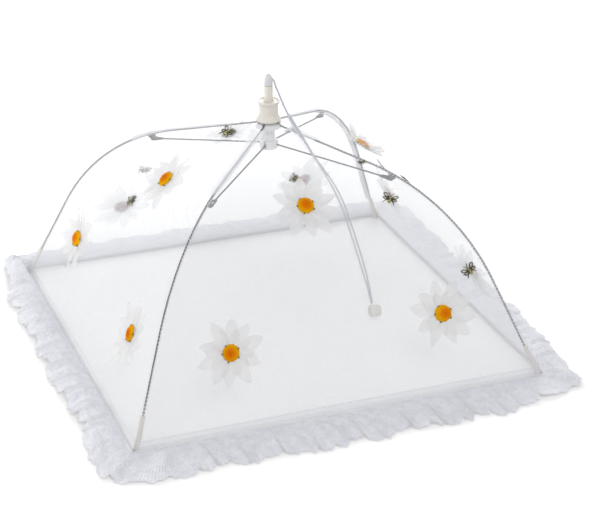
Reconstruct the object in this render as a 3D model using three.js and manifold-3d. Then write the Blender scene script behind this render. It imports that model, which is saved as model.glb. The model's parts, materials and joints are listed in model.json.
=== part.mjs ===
// Pop-up food cover: a square net tent with a lace frill, held up by four sprung ribs and four
// struts that fold like an umbrella when the plunger in the crown is pushed down.
// Millimetres, +Z up, origin on the table under the crown, sides parallel to X and Y.
import * as THREE from 'three';
import { mergeVertices } from 'three/addons/utils/BufferGeometryUtils.js';
import Module from 'manifold-3d';

const wasm = await Module();
wasm.setup();

const degree = Math.PI / 180;
const rightAngle = 90 * degree;

// Driving dimensions of the frame
const footSpan = 400;
const crownPivotHeight = 213.5;
const runnerDrop = 20.5;
const runnerPivotHeight = crownPivotHeight - runnerDrop;
const ribPivotRadius = 9.8;
const strutPivotRadius = 7.2;
const jointRadius = 129;
const armSlope = 14 * degree;
const legSlope = 61 * degree;
const bendRadius = 200;

// Clearances
const seatGap = 0.3;
const boreClearance = 0.4;
const sewingGap = 0.5;
const cutOverrun = 2;

// Rib wire, its eye and the ring that it is threaded on
const ribDiameter = 2;
const ribWireRadius = ribDiameter / 2;
const ribEyeRadius = 1.6;
const ribRingWireRadius = 0.55;
const ribEndLift = 2;
const ribSteps = 21;

// Gusset that joins a rib to its strut
const clipDrop = 5;
const clipThickness = 1.4;
const clipLength = 9;
const clipEndRadius = 2.2;
const clipBossRadius = 1.1;

// Sheet metal struts: a narrow channel that widens into a fork at its outer end
const sheet = 0.5;
const strutGap = ribDiameter + 2 * seatGap;
const strutHeight = 3;
const strutBarWidth = 2.2;
const strutEndRadius = 1.9;
const strutTabLength = 6;
const strutTabOverlap = 4;
const strutTabHeight = 2.6;
const strutEyeRadius = 1.5;
const strutRingWireRadius = 0.5;
const forkLength = 24;
const forkShoulderLength = 3;
const rivetRadius = 1.7;
const rivetHeadHeight = 0.6;

// Plunger, its tip and the runner hub
const plungerRadius = 4.3;
const plungerFootRadius = 6.4;
const plungerFootHeight = 1.2;
const runnerHeight = 7;
const runnerRadius = 9;
const plungerRise = 38.5;
const plungerShoulderHeight = crownPivotHeight + plungerRise;
const tipHeight = 11.5;
const tipEndRadius = 1.9;
const tipSpigotRadius = 2.4;
const tipSpigotHeight = 3;
const eyeRadius = 1.1;
const eyeDrop = 6.2;

// Crown: a flared cap over the net and a slotted hub under it
const boreRadius = plungerRadius + boreClearance;
const sleeveRadius = 6.3;
const flangeRadius = 12;
const flangeThickness = 3;
const waistRadius = 9.2;
const rimRadius = 11;
const rimThickness = 1;
const rimFlareHeight = 5;
const crownHeight = 20;
const crownRecess = 2.6;
const crownCoreRadius = 6.2;
const hubRadius = 12.3;
const hubFlatRadius = 8.6;
const hubDrop = 3.6;
const hubEdgeDrop = 0.2;
const fluteRadius = 1.5;
const fluteDepth = 0.5;
const fluteCount = 8;
const fluteShares = [0.32, 0.74];

// Net cloth
const netThickness = 0.6;
const netOffset = 2.2;
const netOffsetAtPocket = 4.1;
const netTopRadius = 8.4;
const squareFromRadius = 16;
const squareAtRadius = 56;
const netBow = 9;
const netLift = 0.8;
const netRowShares = [
  0, 0.03, 0.07, 0.15, 0.28, 0.335, 0.39, 0.445, 0.5, 0.555, 0.61, 0.665, 0.72, 0.78, 0.9,
];
const netColumns = 3;
const hemWidth = 10;
const hemThickness = 0.5;
const hemStep = 0.5;

// Cloth pockets that hold the rib feet
const pocketLength = 34;
const pocketRadius = 2.7;
const pocketSole = 1.4;
const pocketBlend = 26;

// Lace frill
const laceFlare = 38;
const laceThickness = 0.6;
const laceLift = 1.3;
const laceShoulder = 5.5;
const laceShoulderHeight = 2.6;
const laceWave = 7;
const laceScallop = 3;
const laceWaves = 5;
const laceStepsPerWave = 4;
const laceRows = 3;
const laceCornerShare = 0.14;

// Daisies sewn to the net
const daisyRadius = 31.5;
const daisyPetals = 10;
const petalThickness = 0.5;
const petalRootShare = 0.34;
const petalShoulderShare = 0.74;
const petalSpreadShare = 0.62;
const upperLayerShare = 0.86;
const daisySeat = netThickness + sewingGap;
const petalCurl = 1.2;
const upperCurl = 3.4;
const layerGap = 0.4;
const budRadius = 7.8;
const budHeight = 3.4;
const budRingShares = [[1, 0.1], [0.9, 0.6], [0.5, 0.92]];
const topDaisyDrops = { front: 42.5, right: 54, back: 56, left: 42.5 };
const sideDaisyHeight = 70;
const sideDaisyOffset = 101;

// Pull cord and its bead
const cordRadius = 1.1;
const cordSides = 8;
const cordSteps = 42;
const cordLift = 0.9;
const beadSize = 10.6;
const beadBevel = 2.2;
const beadHeight = 82;
const beadOffset = 39.9;

// Colours
const creamPlastic = { color: 0xe9e3d0, roughness: 0.45 };
const clearPlastic = { color: 0xe4e4e2, roughness: 0.4 };
const darkSteel = { color: 0x4a4a4c, roughness: 0.4, metalness: 0.8 };
const brightSteel = { color: 0x9a9a9c, roughness: 0.35, metalness: 0.9 };
const whiteNet = { color: 0xf4f5f8, roughness: 0.9 };
const whiteLace = { color: 0xeceef8, roughness: 0.9 };
const pocketCloth = { color: 0xe8e2dc, roughness: 0.9 };
const whiteSatin = { color: 0xfbfbfb, roughness: 0.7 };
const whiteCord = { color: 0xf0f0f4, roughness: 0.8 };

// Corners and panels, each turned about Z from where its own shapes are drawn
const corners = [
  { name: 'front_left', turn: -135 * degree },
  { name: 'front_right', turn: -45 * degree },
  { name: 'back_right', turn: 45 * degree },
  { name: 'back_left', turn: 135 * degree },
];
const panels = [
  { name: 'front', turn: 0, halves: ['left', 'right'] },
  { name: 'right', turn: rightAngle, halves: ['front', 'back'] },
  { name: 'back', turn: 2 * rightAngle, halves: ['right', 'left'] },
  { name: 'left', turn: 3 * rightAngle, halves: ['back', 'front'] },
];

const group = new THREE.Group();

function addMesh(name, geometry, finish, turn = 0) {
  geometry.computeVertexNormals();
  const mesh = new THREE.Mesh(geometry, new THREE.MeshStandardMaterial(finish));
  mesh.name = name;
  mesh.rotation.z = turn;
  group.add(mesh);
  return mesh;
}

// Solids for cutting and joining
function solidOf(geometry) {
  const bare = geometry.clone();
  bare.deleteAttribute('normal');
  bare.deleteAttribute('uv');
  const merged = mergeVertices(bare);
  const triVerts = new Uint32Array(merged.index.array);
  const vertProperties = new Float32Array(merged.attributes.position.array);
  return new wasm.Manifold(new wasm.Mesh({ numProp: 3, vertProperties, triVerts }));
}

function geometryOf(solid) {
  const mesh = solid.getMesh();
  const geometry = new THREE.BufferGeometry();
  geometry.setAttribute('position', new THREE.BufferAttribute(mesh.vertProperties, 3));
  geometry.setIndex(new THREE.BufferAttribute(mesh.triVerts, 1));
  return geometry;
}

function joined(geometries) {
  return geometryOf(geometries.map(solidOf).reduce((sum, next) => sum.add(next)));
}

function cut(geometry, cutters) {
  return geometryOf(cutters.map(solidOf).reduce((left, next) => left.subtract(next), solidOf(geometry)));
}

// A plate drawn in the XZ plane and centred on Y
function plate(shape, thickness, curveSegments = 5) {
  const geometry = new THREE.ExtrudeGeometry(shape, {
    depth: thickness,
    bevelEnabled: false,
    curveSegments,
  });
  geometry.translate(0, 0, -thickness / 2);
  geometry.rotateX(rightAngle);
  return geometry;
}

function crossPin(radius, length, sides = 10) {
  return new THREE.CylinderGeometry(radius, radius, length, sides);
}

function upright(radius, bottom, top, sides) {
  const geometry = new THREE.CylinderGeometry(radius, radius, top - bottom, sides);
  geometry.rotateX(rightAngle);
  geometry.translate(0, 0, (top + bottom) / 2);
  return geometry;
}

// A turned piece: outline points are [radius, height], closed on themselves or on the axis
function turned(outline, sides) {
  const points = outline.map(([radius, height]) => new THREE.Vector2(radius, height));
  const geometry = new THREE.LatheGeometry(points, sides);
  geometry.rotateX(rightAngle);
  return outward(geometry);
}

// Merges shared vertices and turns every face outwards
function outward(geometry) {
  const bare = geometry.clone();
  bare.deleteAttribute('normal');
  bare.deleteAttribute('uv');
  const merged = mergeVertices(bare);
  const index = Array.from(merged.index.array);
  const faces = [];
  for (let k = 0; k < index.length; k += 3) {
    const [a, b, c] = index.slice(k, k + 3);
    if (a !== b && b !== c && c !== a) faces.push([a, b, c]);
  }
  const at = (i) => new THREE.Vector3().fromBufferAttribute(merged.attributes.position, i);
  const volume = faces.reduce((sum, [a, b, c]) => sum + at(a).dot(at(b).cross(at(c))), 0);
  merged.setIndex(faces.flatMap(([a, b, c]) => (volume < 0 ? [a, c, b] : [a, b, c])));
  return merged;
}

// A closed shell over a grid: pointAt(row, column, side) gives its inner and outer faces
function shell(rows, columns, pointAt) {
  const position = [];
  const index = [];
  const wide = columns + 1;
  const layer = (rows + 1) * wide;
  for (const side of [0, 1]) {
    for (let i = 0; i <= rows; i += 1) {
      for (let j = 0; j <= columns; j += 1) position.push(...pointAt(i, j, side));
    }
  }
  const quad = (a, b, c, d) => index.push(a, b, c, a, c, d);
  for (let i = 0; i < rows; i += 1) {
    for (let j = 0; j < columns; j += 1) {
      const k = i * wide + j;
      quad(k, k + 1, k + wide + 1, k + wide);
      quad(layer + k, layer + k + wide, layer + k + wide + 1, layer + k + 1);
    }
  }
  for (let j = 0; j < columns; j += 1) {
    const last = rows * wide + j;
    quad(j, layer + j, layer + j + 1, j + 1);
    quad(last, last + 1, layer + last + 1, layer + last);
  }
  for (let i = 0; i < rows; i += 1) {
    const left = i * wide;
    const right = left + columns;
    quad(left, left + wide, layer + left + wide, layer + left);
    quad(right, layer + right, layer + right + wide, right + wide);
  }
  const geometry = new THREE.BufferGeometry();
  geometry.setAttribute('position', new THREE.Float32BufferAttribute(position, 3));
  geometry.setIndex(index);
  return outward(geometry);
}

const smooth = (t) => THREE.MathUtils.smoothstep(t, 0, 1);

// Rib centre line in its own plane: a straight arm, a bend and a straight leg
const footRadius = footSpan / Math.SQRT2;
const cornerRadius = (
  Math.tan(legSlope) * footRadius - crownPivotHeight - Math.tan(armSlope) * ribPivotRadius
) / (Math.tan(legSlope) - Math.tan(armSlope));
const cornerHeight = Math.tan(legSlope) * (footRadius - cornerRadius);
const bendAngle = legSlope - armSlope;
const tangent = bendRadius * Math.tan(bendAngle / 2);
const armLength = (cornerRadius - ribPivotRadius) / Math.cos(armSlope) - tangent;
const bendLength = bendRadius * bendAngle;
const legLength = cornerHeight / Math.sin(legSlope) - tangent;
const armEnd = [
  ribPivotRadius + armLength * Math.cos(armSlope),
  crownPivotHeight - armLength * Math.sin(armSlope),
];
const bendCentre = [
  armEnd[0] - bendRadius * Math.sin(armSlope),
  armEnd[1] - bendRadius * Math.cos(armSlope),
];
const legStart = [
  bendCentre[0] + bendRadius * Math.sin(legSlope),
  bendCentre[1] + bendRadius * Math.cos(legSlope),
];
const ribLength = armLength + bendLength + legLength;

function slopeAt(distance) {
  const turn = (distance - armLength) / bendRadius;
  return armSlope + THREE.MathUtils.clamp(turn, 0, bendAngle);
}

// Radius and height at a distance from the crown pivot, lifted off the centre line by an offset
function ribAt(distance, offset = 0) {
  const slope = slopeAt(distance);
  let radius = bendCentre[0] + bendRadius * Math.sin(slope);
  let height = bendCentre[1] + bendRadius * Math.cos(slope);
  if (distance < armLength) {
    radius = armEnd[0] - (armLength - distance) * Math.cos(armSlope);
    height = armEnd[1] + (armLength - distance) * Math.sin(armSlope);
  }
  if (distance > armLength + bendLength) {
    const past = distance - armLength - bendLength;
    radius = legStart[0] + past * Math.cos(legSlope);
    height = legStart[1] - past * Math.sin(legSlope);
  }
  return [radius + offset * Math.sin(slope), height + offset * Math.cos(slope)];
}

// The distance at which a falling function of it comes down to a value
function distanceWhere(fallTo, value, low = -ribPivotRadius, high = ribLength) {
  let [near, far] = [low, high];
  for (let k = 0; k < 40; k += 1) {
    const middle = (near + far) / 2;
    if (fallTo(middle) > value) near = middle;
    else far = middle;
  }
  return (near + far) / 2;
}

// The pivots of one rib and its strut, in the plane of the rib
const jointDistance = distanceWhere((distance) => -ribAt(distance)[0], -jointRadius);
const joint = ribAt(jointDistance, -clipDrop);
const jointSlope = slopeAt(jointDistance);
const strutLength = Math.hypot(joint[0] - strutPivotRadius, runnerPivotHeight - joint[1]);
const strutSlope = Math.atan2(runnerPivotHeight - joint[1], joint[0] - strutPivotRadius);

class RibLine extends THREE.Curve {
  getPoint(share) {
    const end = ribLength - ribEndLift / Math.sin(legSlope);
    const start = ribEyeRadius - seatGap;
    const [radius, height] = ribAt(start + (end - start) * share);
    return new THREE.Vector3(radius, 0, height);
  }
}

function ribGeometry() {
  const section = new THREE.Shape().absarc(0, 0, ribWireRadius, 0, 2 * Math.PI);
  const wire = new THREE.ExtrudeGeometry(section, {
    steps: ribSteps, curveSegments: 4, extrudePath: new RibLine(),
  });
  const eye = new THREE.Shape().absarc(0, 0, ribEyeRadius, 0, 2 * Math.PI);
  eye.holes.push(new THREE.Path().absarc(0, 0, ribRingWireRadius + seatGap, 0, 2 * Math.PI, true));
  const flattened = plate(eye, ribDiameter, 6);
  flattened.translate(ribPivotRadius, 0, crownPivotHeight);
  return joined([wire, flattened]);
}

// The gusset under the rib that the strut is riveted to
function clipGeometry() {
  const top = clipDrop - ribWireRadius - seatGap;
  const outline = new THREE.Shape();
  outline.moveTo(-clipLength / 2, top);
  outline.lineTo(-clipEndRadius, 0);
  outline.absarc(0, 0, clipEndRadius, Math.PI, 2 * Math.PI);
  outline.lineTo(clipLength / 2, top);
  const gusset = plate(outline, clipThickness);
  const boss = crossPin(clipBossRadius, ribDiameter);
  const geometry = joined([gusset, boss]);
  geometry.rotateY(jointSlope);
  geometry.translate(joint[0], 0, joint[1]);
  return geometry;
}

// The strut lies along X from its runner pivot, open side up, and is then tilted into place
function strutGeometry() {
  const half = strutHeight / 2;
  const barEnd = strutLength - forkLength;
  const shoulder = barEnd - forkShoulderLength;
  const cheekOutline = new THREE.Shape();
  cheekOutline.moveTo(shoulder, -half);
  cheekOutline.lineTo(strutLength, -strutEndRadius);
  cheekOutline.absarc(strutLength, 0, strutEndRadius, -rightAngle, rightAngle);
  cheekOutline.lineTo(shoulder, half);
  const cheekPlace = (strutGap + sheet) / 2;
  const cheeks = [-1, 1].map((side) => plate(cheekOutline, sheet, 4).translate(0, side * cheekPlace, 0));
  const heads = [-1, 1].map((side) => {
    const place = side * (strutGap / 2 + sheet + rivetHeadHeight / 2 - sheet / 2);
    return crossPin(rivetRadius, rivetHeadHeight + sheet).translate(strutLength, place, 0);
  });
  const barLength = barEnd - strutTabLength;
  const barMiddle = strutTabLength + barLength / 2;
  const barWeb = new THREE.BoxGeometry(barLength, strutBarWidth, sheet);
  barWeb.translate(barMiddle, 0, -half + sheet / 2);
  const barCheeks = [-1, 1].map((side) => {
    const barCheek = new THREE.BoxGeometry(barLength, sheet, strutHeight);
    return barCheek.translate(barMiddle, side * (strutBarWidth - sheet) / 2, 0);
  });
  const forkWeb = new THREE.BoxGeometry(forkShoulderLength, strutGap + sheet, sheet);
  forkWeb.translate((shoulder + barEnd) / 2, 0, -half + sheet / 2);
  const geometry = joined([
    strutTabGeometry(), barWeb, ...barCheeks, forkWeb, ...cheeks, ...heads,
  ]);
  geometry.rotateY(strutSlope);
  geometry.translate(strutPivotRadius, 0, runnerPivotHeight);
  return geometry;
}

// The flattened inner end of a strut, with its eye
function strutTabGeometry() {
  const bar = new THREE.Shape();
  const reach = strutTabLength + strutTabOverlap;
  bar.moveTo(0, -strutEyeRadius);
  bar.lineTo(reach, -strutHeight / 2);
  bar.lineTo(reach, strutTabHeight / 2);
  bar.lineTo(0, strutEyeRadius);
  bar.absarc(0, 0, strutEyeRadius, rightAngle, 3 * rightAngle);
  bar.holes.push(new THREE.Path().absarc(0, 0, strutRingWireRadius + seatGap, 0, 2 * Math.PI, true));
  return plate(bar, ribDiameter, 5);
}

// A slot from an inner radius out past the rim, open above and below
function radialSlot(inner, outer, middleHeight, height, turn) {
  const slot = new THREE.BoxGeometry(outer + cutOverrun - inner, strutGap, height);
  slot.translate((outer + cutOverrun + inner) / 2, 0, middleHeight);
  slot.rotateZ(turn);
  return slot;
}

// A ring-shaped channel for a pivot ring, cut from one face down past the ring
function ringChannel(ringRadius, wireRadius, from, to) {
  const clear = wireRadius + seatGap;
  return turned([
    [ringRadius - clear, from],
    [ringRadius + clear, from],
    [ringRadius + clear, to],
    [ringRadius - clear, to],
    [ringRadius - clear, from],
  ], 24);
}

// The net's upper edge is clamped between the hub and the crown's flange
const netSeatHeight = crownPivotHeight + (ribPivotRadius - netTopRadius) * Math.tan(armSlope)
  + netOffset / Math.cos(armSlope);

function hubGeometry() {
  const bottom = crownPivotHeight - hubDrop;
  const top = netSeatHeight - seatGap;
  const bore = sleeveRadius + seatGap;
  const body = turned([
    [bore, bottom],
    [hubRadius, bottom],
    [hubRadius, crownPivotHeight + hubEdgeDrop],
    [hubFlatRadius, top],
    [bore, top],
    [bore, bottom],
  ], 24);
  const channelBottom = crownPivotHeight - ribRingWireRadius - seatGap;
  const channel = ringChannel(ribPivotRadius, ribRingWireRadius, channelBottom, top + cutOverrun);
  const inner = ribPivotRadius - ribEyeRadius - seatGap;
  const tall = 2 * (top - bottom + cutOverrun);
  const slots = corners.map(({ turn }) => radialSlot(inner, hubRadius, crownPivotHeight, tall, turn));
  return cut(body, [channel, ...slots]);
}

function runnerGeometry() {
  const bottom = runnerPivotHeight - runnerHeight / 2;
  const top = runnerPivotHeight + runnerHeight / 2;
  const bore = plungerRadius + seatGap;
  const body = turned([
    [bore, bottom],
    [runnerRadius, bottom],
    [runnerRadius, top],
    [bore, top],
    [bore, bottom],
  ], 28);
  const channelTop = runnerPivotHeight + strutRingWireRadius + seatGap;
  const channel = ringChannel(strutPivotRadius, strutRingWireRadius, bottom - cutOverrun, channelTop);
  const inner = strutPivotRadius - strutEyeRadius - seatGap;
  const tall = runnerHeight + 2 * cutOverrun;
  const slots = corners.map(({ turn }) => radialSlot(inner, runnerRadius, runnerPivotHeight, tall, turn));
  return cut(body, [channel, ...slots]);
}

function ringGeometry(ringRadius, wireRadius, height) {
  const ring = new THREE.TorusGeometry(ringRadius, wireRadius, 5, 20);
  ring.translate(0, 0, height);
  return outward(ring);
}

// The flange that clamps the net, the fluted waist and the flared rim, round the plunger's bore
const flangeBottom = netSeatHeight + netThickness + seatGap;
const rimTop = flangeBottom + crownHeight;

function crownGeometry() {
  const flangeTop = flangeBottom + flangeThickness;
  const flareFoot = rimTop - rimFlareHeight;
  const sleeveBottom = crownPivotHeight - hubDrop;
  const outline = [
    [boreRadius, sleeveBottom],
    [sleeveRadius, sleeveBottom],
    [sleeveRadius, flangeBottom],
    [flangeRadius, flangeBottom],
    [flangeRadius, flangeTop - rimThickness],
    [flangeRadius - rimThickness, flangeTop],
    [waistRadius, flangeTop + flangeThickness],
    [waistRadius, flareFoot],
    [rimRadius, rimTop - rimThickness],
    [rimRadius, rimTop],
    [rimRadius - rimThickness, rimTop],
    [waistRadius - rimThickness, rimTop - crownRecess],
    [crownCoreRadius, rimTop - crownRecess],
    [crownCoreRadius, rimTop - rimThickness],
    [boreRadius, rimTop - rimThickness],
    [boreRadius, sleeveBottom],
  ];
  const from = flangeBottom + crownHeight * fluteShares[0];
  const to = flangeBottom + crownHeight * fluteShares[1];
  const flutes = Array.from({ length: fluteCount }, (_, k) => {
    const flute = upright(fluteRadius, from, to, 6);
    flute.translate(waistRadius + fluteRadius - fluteDepth, 0, 0);
    return flute.rotateZ((k + 0.5) * 2 * Math.PI / fluteCount);
  });
  return cut(turned(outline, 24), flutes);
}

function plungerGeometry() {
  const footTop = runnerPivotHeight - runnerHeight / 2 - seatGap;
  const footBottom = footTop - plungerFootHeight;
  return turned([
    [0, footBottom],
    [plungerFootRadius, footBottom],
    [plungerFootRadius, footTop],
    [plungerRadius, footTop],
    [plungerRadius, plungerShoulderHeight],
    [tipSpigotRadius, plungerShoulderHeight],
    [tipSpigotRadius, plungerShoulderHeight + tipSpigotHeight],
    [0, plungerShoulderHeight + tipSpigotHeight],
  ], 20);
}

// The tapered cap on the plunger, with the eye that the cord is tied through
const tipBottom = plungerShoulderHeight + seatGap;
const eyeHeight = tipBottom + tipHeight - eyeDrop;

function tipGeometry() {
  const top = tipBottom + tipHeight;
  const socket = tipSpigotRadius + seatGap;
  const socketTop = plungerShoulderHeight + tipSpigotHeight + seatGap;
  const body = turned([
    [0, socketTop],
    [socket, socketTop],
    [socket, tipBottom],
    [plungerRadius, tipBottom],
    [tipEndRadius, top - tipEndRadius],
    [tipEndRadius / 2, top],
    [0, top],
  ], 20);
  const eye = crossPin(eyeRadius, 2 * (plungerRadius + cutOverrun), 8)
    .rotateZ(rightAngle)
    .translate(0, 0, eyeHeight);
  return cut(body, [eye]);
}

// How far the net lies off the rib's centre line: wider where it goes round the pocket
function netOffsetAt(distance) {
  const start = ribLength - pocketLength - pocketBlend;
  return netOffset + (netOffsetAtPocket - netOffset) * smooth((distance - start) / pocketBlend);
}

// The net's section at a distance: half width, height and slope of a panel, lifted off its inner face
function panelAt(distance, lift) {
  const [radius, height] = ribAt(distance, netOffsetAt(distance));
  const slope = Math.atan(Math.tan(slopeAt(distance)) * Math.SQRT2);
  return {
    half: radius / Math.SQRT2 + lift * Math.sin(slope),
    height: height + lift * Math.cos(slope),
    slope,
  };
}

const netTop = distanceWhere((distance) => -ribAt(distance, netOffset)[0], -netTopRadius);
const netBottom = distanceWhere(
  (distance) => panelAt(distance, 0).height, netLift, 0, ribLength + footSpan,
);
const hemTop = distanceWhere((distance) => panelAt(distance, 0).height, netLift + hemWidth);

// A point of the front panel, at a share from -1 to 1 across it
function netPoint(across, distance, lift) {
  const { half, height } = panelAt(distance, lift);
  const round = half * Math.SQRT2;
  const square = smooth((round - squareFromRadius) / (squareAtRadius - squareFromRadius));
  const along = (distance - netTop) / (netBottom - netTop);
  const bow = netBow * Math.sin(Math.PI * along) * (1 - across * across);
  const angle = across * rightAngle / 2;
  const x = THREE.MathUtils.lerp(round * Math.sin(angle), half * across, square);
  const y = THREE.MathUtils.lerp(round * Math.cos(angle), half - bow, square);
  return new THREE.Vector3(x, -y, height);
}

const midGap = seatGap / 2;
const cornerGap = seatGap / Math.SQRT2;

// A half panel runs from its rib to the middle of its side: side is -1 for x below zero
function halfPanelPoint(side, fromRib, distance, lift) {
  const point = netPoint(side * (1 - fromRib), distance, lift);
  point.x -= side * (cornerGap * (1 - fromRib) - midGap * fromRib);
  return point;
}

function halfPanelGeometry(side) {
  const pocketTop = ribLength - pocketLength - seatGap;
  const rows = netRowShares.map((share) => [netTop + (pocketTop - netTop) * share, 0]);
  rows.push([pocketTop, 0], [hemTop, 0]);
  rows.push([hemTop + hemStep, hemThickness], [(hemTop + netBottom) / 2, hemThickness]);
  rows.push([netBottom, hemThickness]);
  return shell(rows.length - 1, netColumns, (i, j, outer) => {
    const [distance, extra] = rows[i];
    const lift = outer ? netThickness + extra : 0;
    return halfPanelPoint(side, j / netColumns, distance, lift).toArray();
  });
}

// The frill leaves the hem near its top, falls outside it and flares over the table in gathers
function lacePoint(side, fromCorner, fall, outer) {
  const hemLift = netThickness + hemThickness + seatGap;
  const hem = panelAt(hemTop + hemStep, hemLift);
  const wave = (1 - Math.cos(2 * Math.PI * laceWaves * fromCorner)) / 2;
  const cornerDraw = 1 - laceCornerShare * (1 - smooth(fromCorner * laceWaves));
  const flare = (laceFlare + laceScallop * wave) * cornerDraw;
  const bezier = (a, b, c) => (1 - fall) ** 2 * a + 2 * fall * (1 - fall) * b + fall ** 2 * c;
  const out = bezier(0, laceShoulder, flare) + (outer ? laceThickness * (1 - fall) : 0);
  const rise = laceWave * wave * fall + (outer ? laceThickness * fall : 0);
  const height = bezier(hem.height, laceShoulderHeight, laceLift) + rise;
  const reach = hem.half + out;
  const x = side * ((reach - cornerGap) * (1 - fromCorner) + midGap * fromCorner);
  return [x, -reach, height];
}

function laceGeometry(side) {
  const columns = laceWaves * laceStepsPerWave;
  return shell(laceRows, columns, (i, j, outer) => lacePoint(side, j / columns, i / laceRows, outer));
}

// The sleeve round a rib's foot, cut flat where it stands on the table
function pocketGeometry() {
  const along = [Math.cos(legSlope), -Math.sin(legSlope)];
  const sleeve = (radius, from, to, sides) => {
    const geometry = new THREE.CylinderGeometry(radius, radius, to - from, sides);
    geometry.rotateX(rightAngle);
    geometry.rotateY(rightAngle + legSlope);
    const middle = (from + to) / 2;
    const [radiusAt, heightAt] = [footRadius + along[0] * middle, along[1] * middle];
    return geometry.translate(radiusAt, 0, heightAt);
  };
  const outer = sleeve(pocketRadius, -pocketLength, pocketRadius + cutOverrun, 12);
  const solePlane = pocketSole / Math.sin(legSlope);
  const bore = sleeve(ribWireRadius + seatGap, -pocketLength - cutOverrun, -solePlane, 8);
  const floor = new THREE.BoxGeometry(pocketLength, pocketLength, pocketLength);
  floor.translate(footRadius, 0, -pocketLength / 2);
  return cut(outer, [bore, floor]);
}

// A point over the front panel at a distance across it and up it from a flower's middle
function sewnPoint(place, acrossBy, upBy, lift) {
  const slope = slopeAt(place.distance);
  const speed = Math.hypot(Math.cos(slope) / Math.SQRT2, Math.sin(slope));
  const distance = place.distance - upBy / speed;
  const { half } = panelAt(distance, 0);
  return netPoint((place.across + acrossBy) / half, distance, lift);
}

function placeOnNet(across, height) {
  return { across, distance: distanceWhere((distance) => panelAt(distance, 0).height, height) };
}

// A flower is one closed skin: rings of points on the net, from under its middle, out along the lower
// petals and back, out along the upper petals and back, and up over the bud
const petalAngle = 2 * Math.PI / daisyPetals;

// The outline of one face of a layer: a root, two shoulders and a point for each petal
function petalOutline(radius, lift, curl, turn) {
  const spread = petalSpreadShare * petalAngle / 2;
  const corner = (angle, share) => [radius * share, angle, lift + curl * share * share];
  return Array.from({ length: daisyPetals }, (_, k) => k * petalAngle + turn).flatMap((angle) => [
    corner(angle - petalAngle / 2, petalRootShare),
    corner(angle - spread, petalShoulderShare),
    corner(angle, 1),
    corner(angle + spread, petalShoulderShare),
  ]);
}

function petalLayer(first, radius, lift, curl, turn) {
  const outlines = [lift, lift + petalThickness].map((base) => petalOutline(radius, base, curl, turn));
  const count = outlines[0].length;
  const index = [];
  for (let k = 0; k < daisyPetals; k += 1) {
    const [root, near, point, far] = [0, 1, 2, 3].map((step) => first + 4 * k + step);
    const nextRoot = first + (4 * k + 4) % count;
    for (const [a, b, c] of [[root, nextRoot, near], [near, nextRoot, far], [near, far, point]]) {
      index.push(a, b, c, count + a, count + c, count + b);
    }
  }
  for (let k = 0; k < count; k += 1) {
    const [a, b] = [first + k, first + (k + 1) % count];
    index.push(a, b, count + b, a, count + b, count + a);
  }
  const roots = (layer) => Array.from({ length: daisyPetals }, (_, k) => first + layer * count + 4 * k);
  return { points: outlines.flat(), index, under: roots(0), over: roots(1) };
}

function fan(middle, ring) {
  return ring.flatMap((a, k) => [middle, ring[(k + 1) % ring.length], a]);
}

function band(inner, outer) {
  return inner.flatMap((a, k) => {
    const next = (k + 1) % inner.length;
    return [outer[k], outer[next], inner[next], outer[k], inner[next], a];
  });
}

function daisyGeometry(across, height) {
  const place = placeOnNet(across, height);
  const lower = petalLayer(1, daisyRadius, daisySeat, petalCurl, rightAngle);
  const upperFirst = 1 + lower.points.length;
  const upperTurn = rightAngle + petalAngle / 2;
  const upperSeat = daisySeat + petalThickness + layerGap;
  const upper = petalLayer(upperFirst, daisyRadius * upperLayerShare, upperSeat, upperCurl, upperTurn);
  const budFirst = upperFirst + upper.points.length;
  const budBase = upperSeat + petalThickness;
  const bud = budRingShares.flatMap(([radiusShare, heightShare]) => Array.from(
    { length: daisyPetals },
    (_, k) => [
      budRadius * radiusShare,
      (k - 0.5) * petalAngle + upperTurn,
      budBase + budHeight * heightShare,
    ],
  ));
  const budRings = budRingShares.map((_, ring) => Array.from(
    { length: daisyPetals },
    (unused, k) => budFirst + ring * daisyPetals + k,
  ));
  const top = budFirst + bud.length;
  const points = [[0, 0, daisySeat], ...lower.points, ...upper.points, ...bud, [0, 0, budBase + budHeight]];
  const position = points.flatMap(([reach, angle, lift]) => (
    sewnPoint(place, reach * Math.cos(angle), reach * Math.sin(angle), lift).toArray()));
  const index = [
    ...fan(0, lower.under),
    ...lower.index,
    ...band(upper.under, lower.over),
    ...upper.index,
    ...band(budRings[0], upper.over),
    ...budRings.slice(1).flatMap((ring, k) => band(ring, budRings[k])),
    ...fan(top, budRings.at(-1).toReversed()),
  ];
  const geometry = new THREE.BufferGeometry();
  geometry.setAttribute('position', new THREE.Float32BufferAttribute(position, 3));
  geometry.setIndex(index);
  return outward(geometry);
}

// The cord's route: out of the eye, down past the crown and along the front panel to the bead
const cordOverNet = netThickness + cordRadius + cordLift;
const cordFreeRoute = [
  new THREE.Vector3(3.9, 0, 258),
  new THREE.Vector3(6.5, -4, 250),
  new THREE.Vector3(12, -14, 231),
  new THREE.Vector3(16.5, -29, 217.5),
  new THREE.Vector3(19, -45, 210),
];
const cordNetRoute = [
  [22.5, 196, 1], [24.5, 188, 2], [28, 176, 2.8], [31.5, 163, 1.6], [34, 145, 0], [36.5, 125, 0],
  [39, 105, 0], [40.2, 88, 0],
];

function cordGeometry() {
  const laid = cordNetRoute.map(
    ([across, height, over]) => sewnPoint(placeOnNet(across, height), 0, 0, cordOverNet + over),
  );
  const route = new THREE.CatmullRomCurve3([...cordFreeRoute, ...laid], false, 'centripetal');
  const section = new THREE.Shape().absarc(0, 0, cordRadius, 0, 2 * Math.PI);
  return new THREE.ExtrudeGeometry(section, {
    steps: cordSteps, curveSegments: cordSides / 2, extrudePath: route,
  });
}

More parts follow.
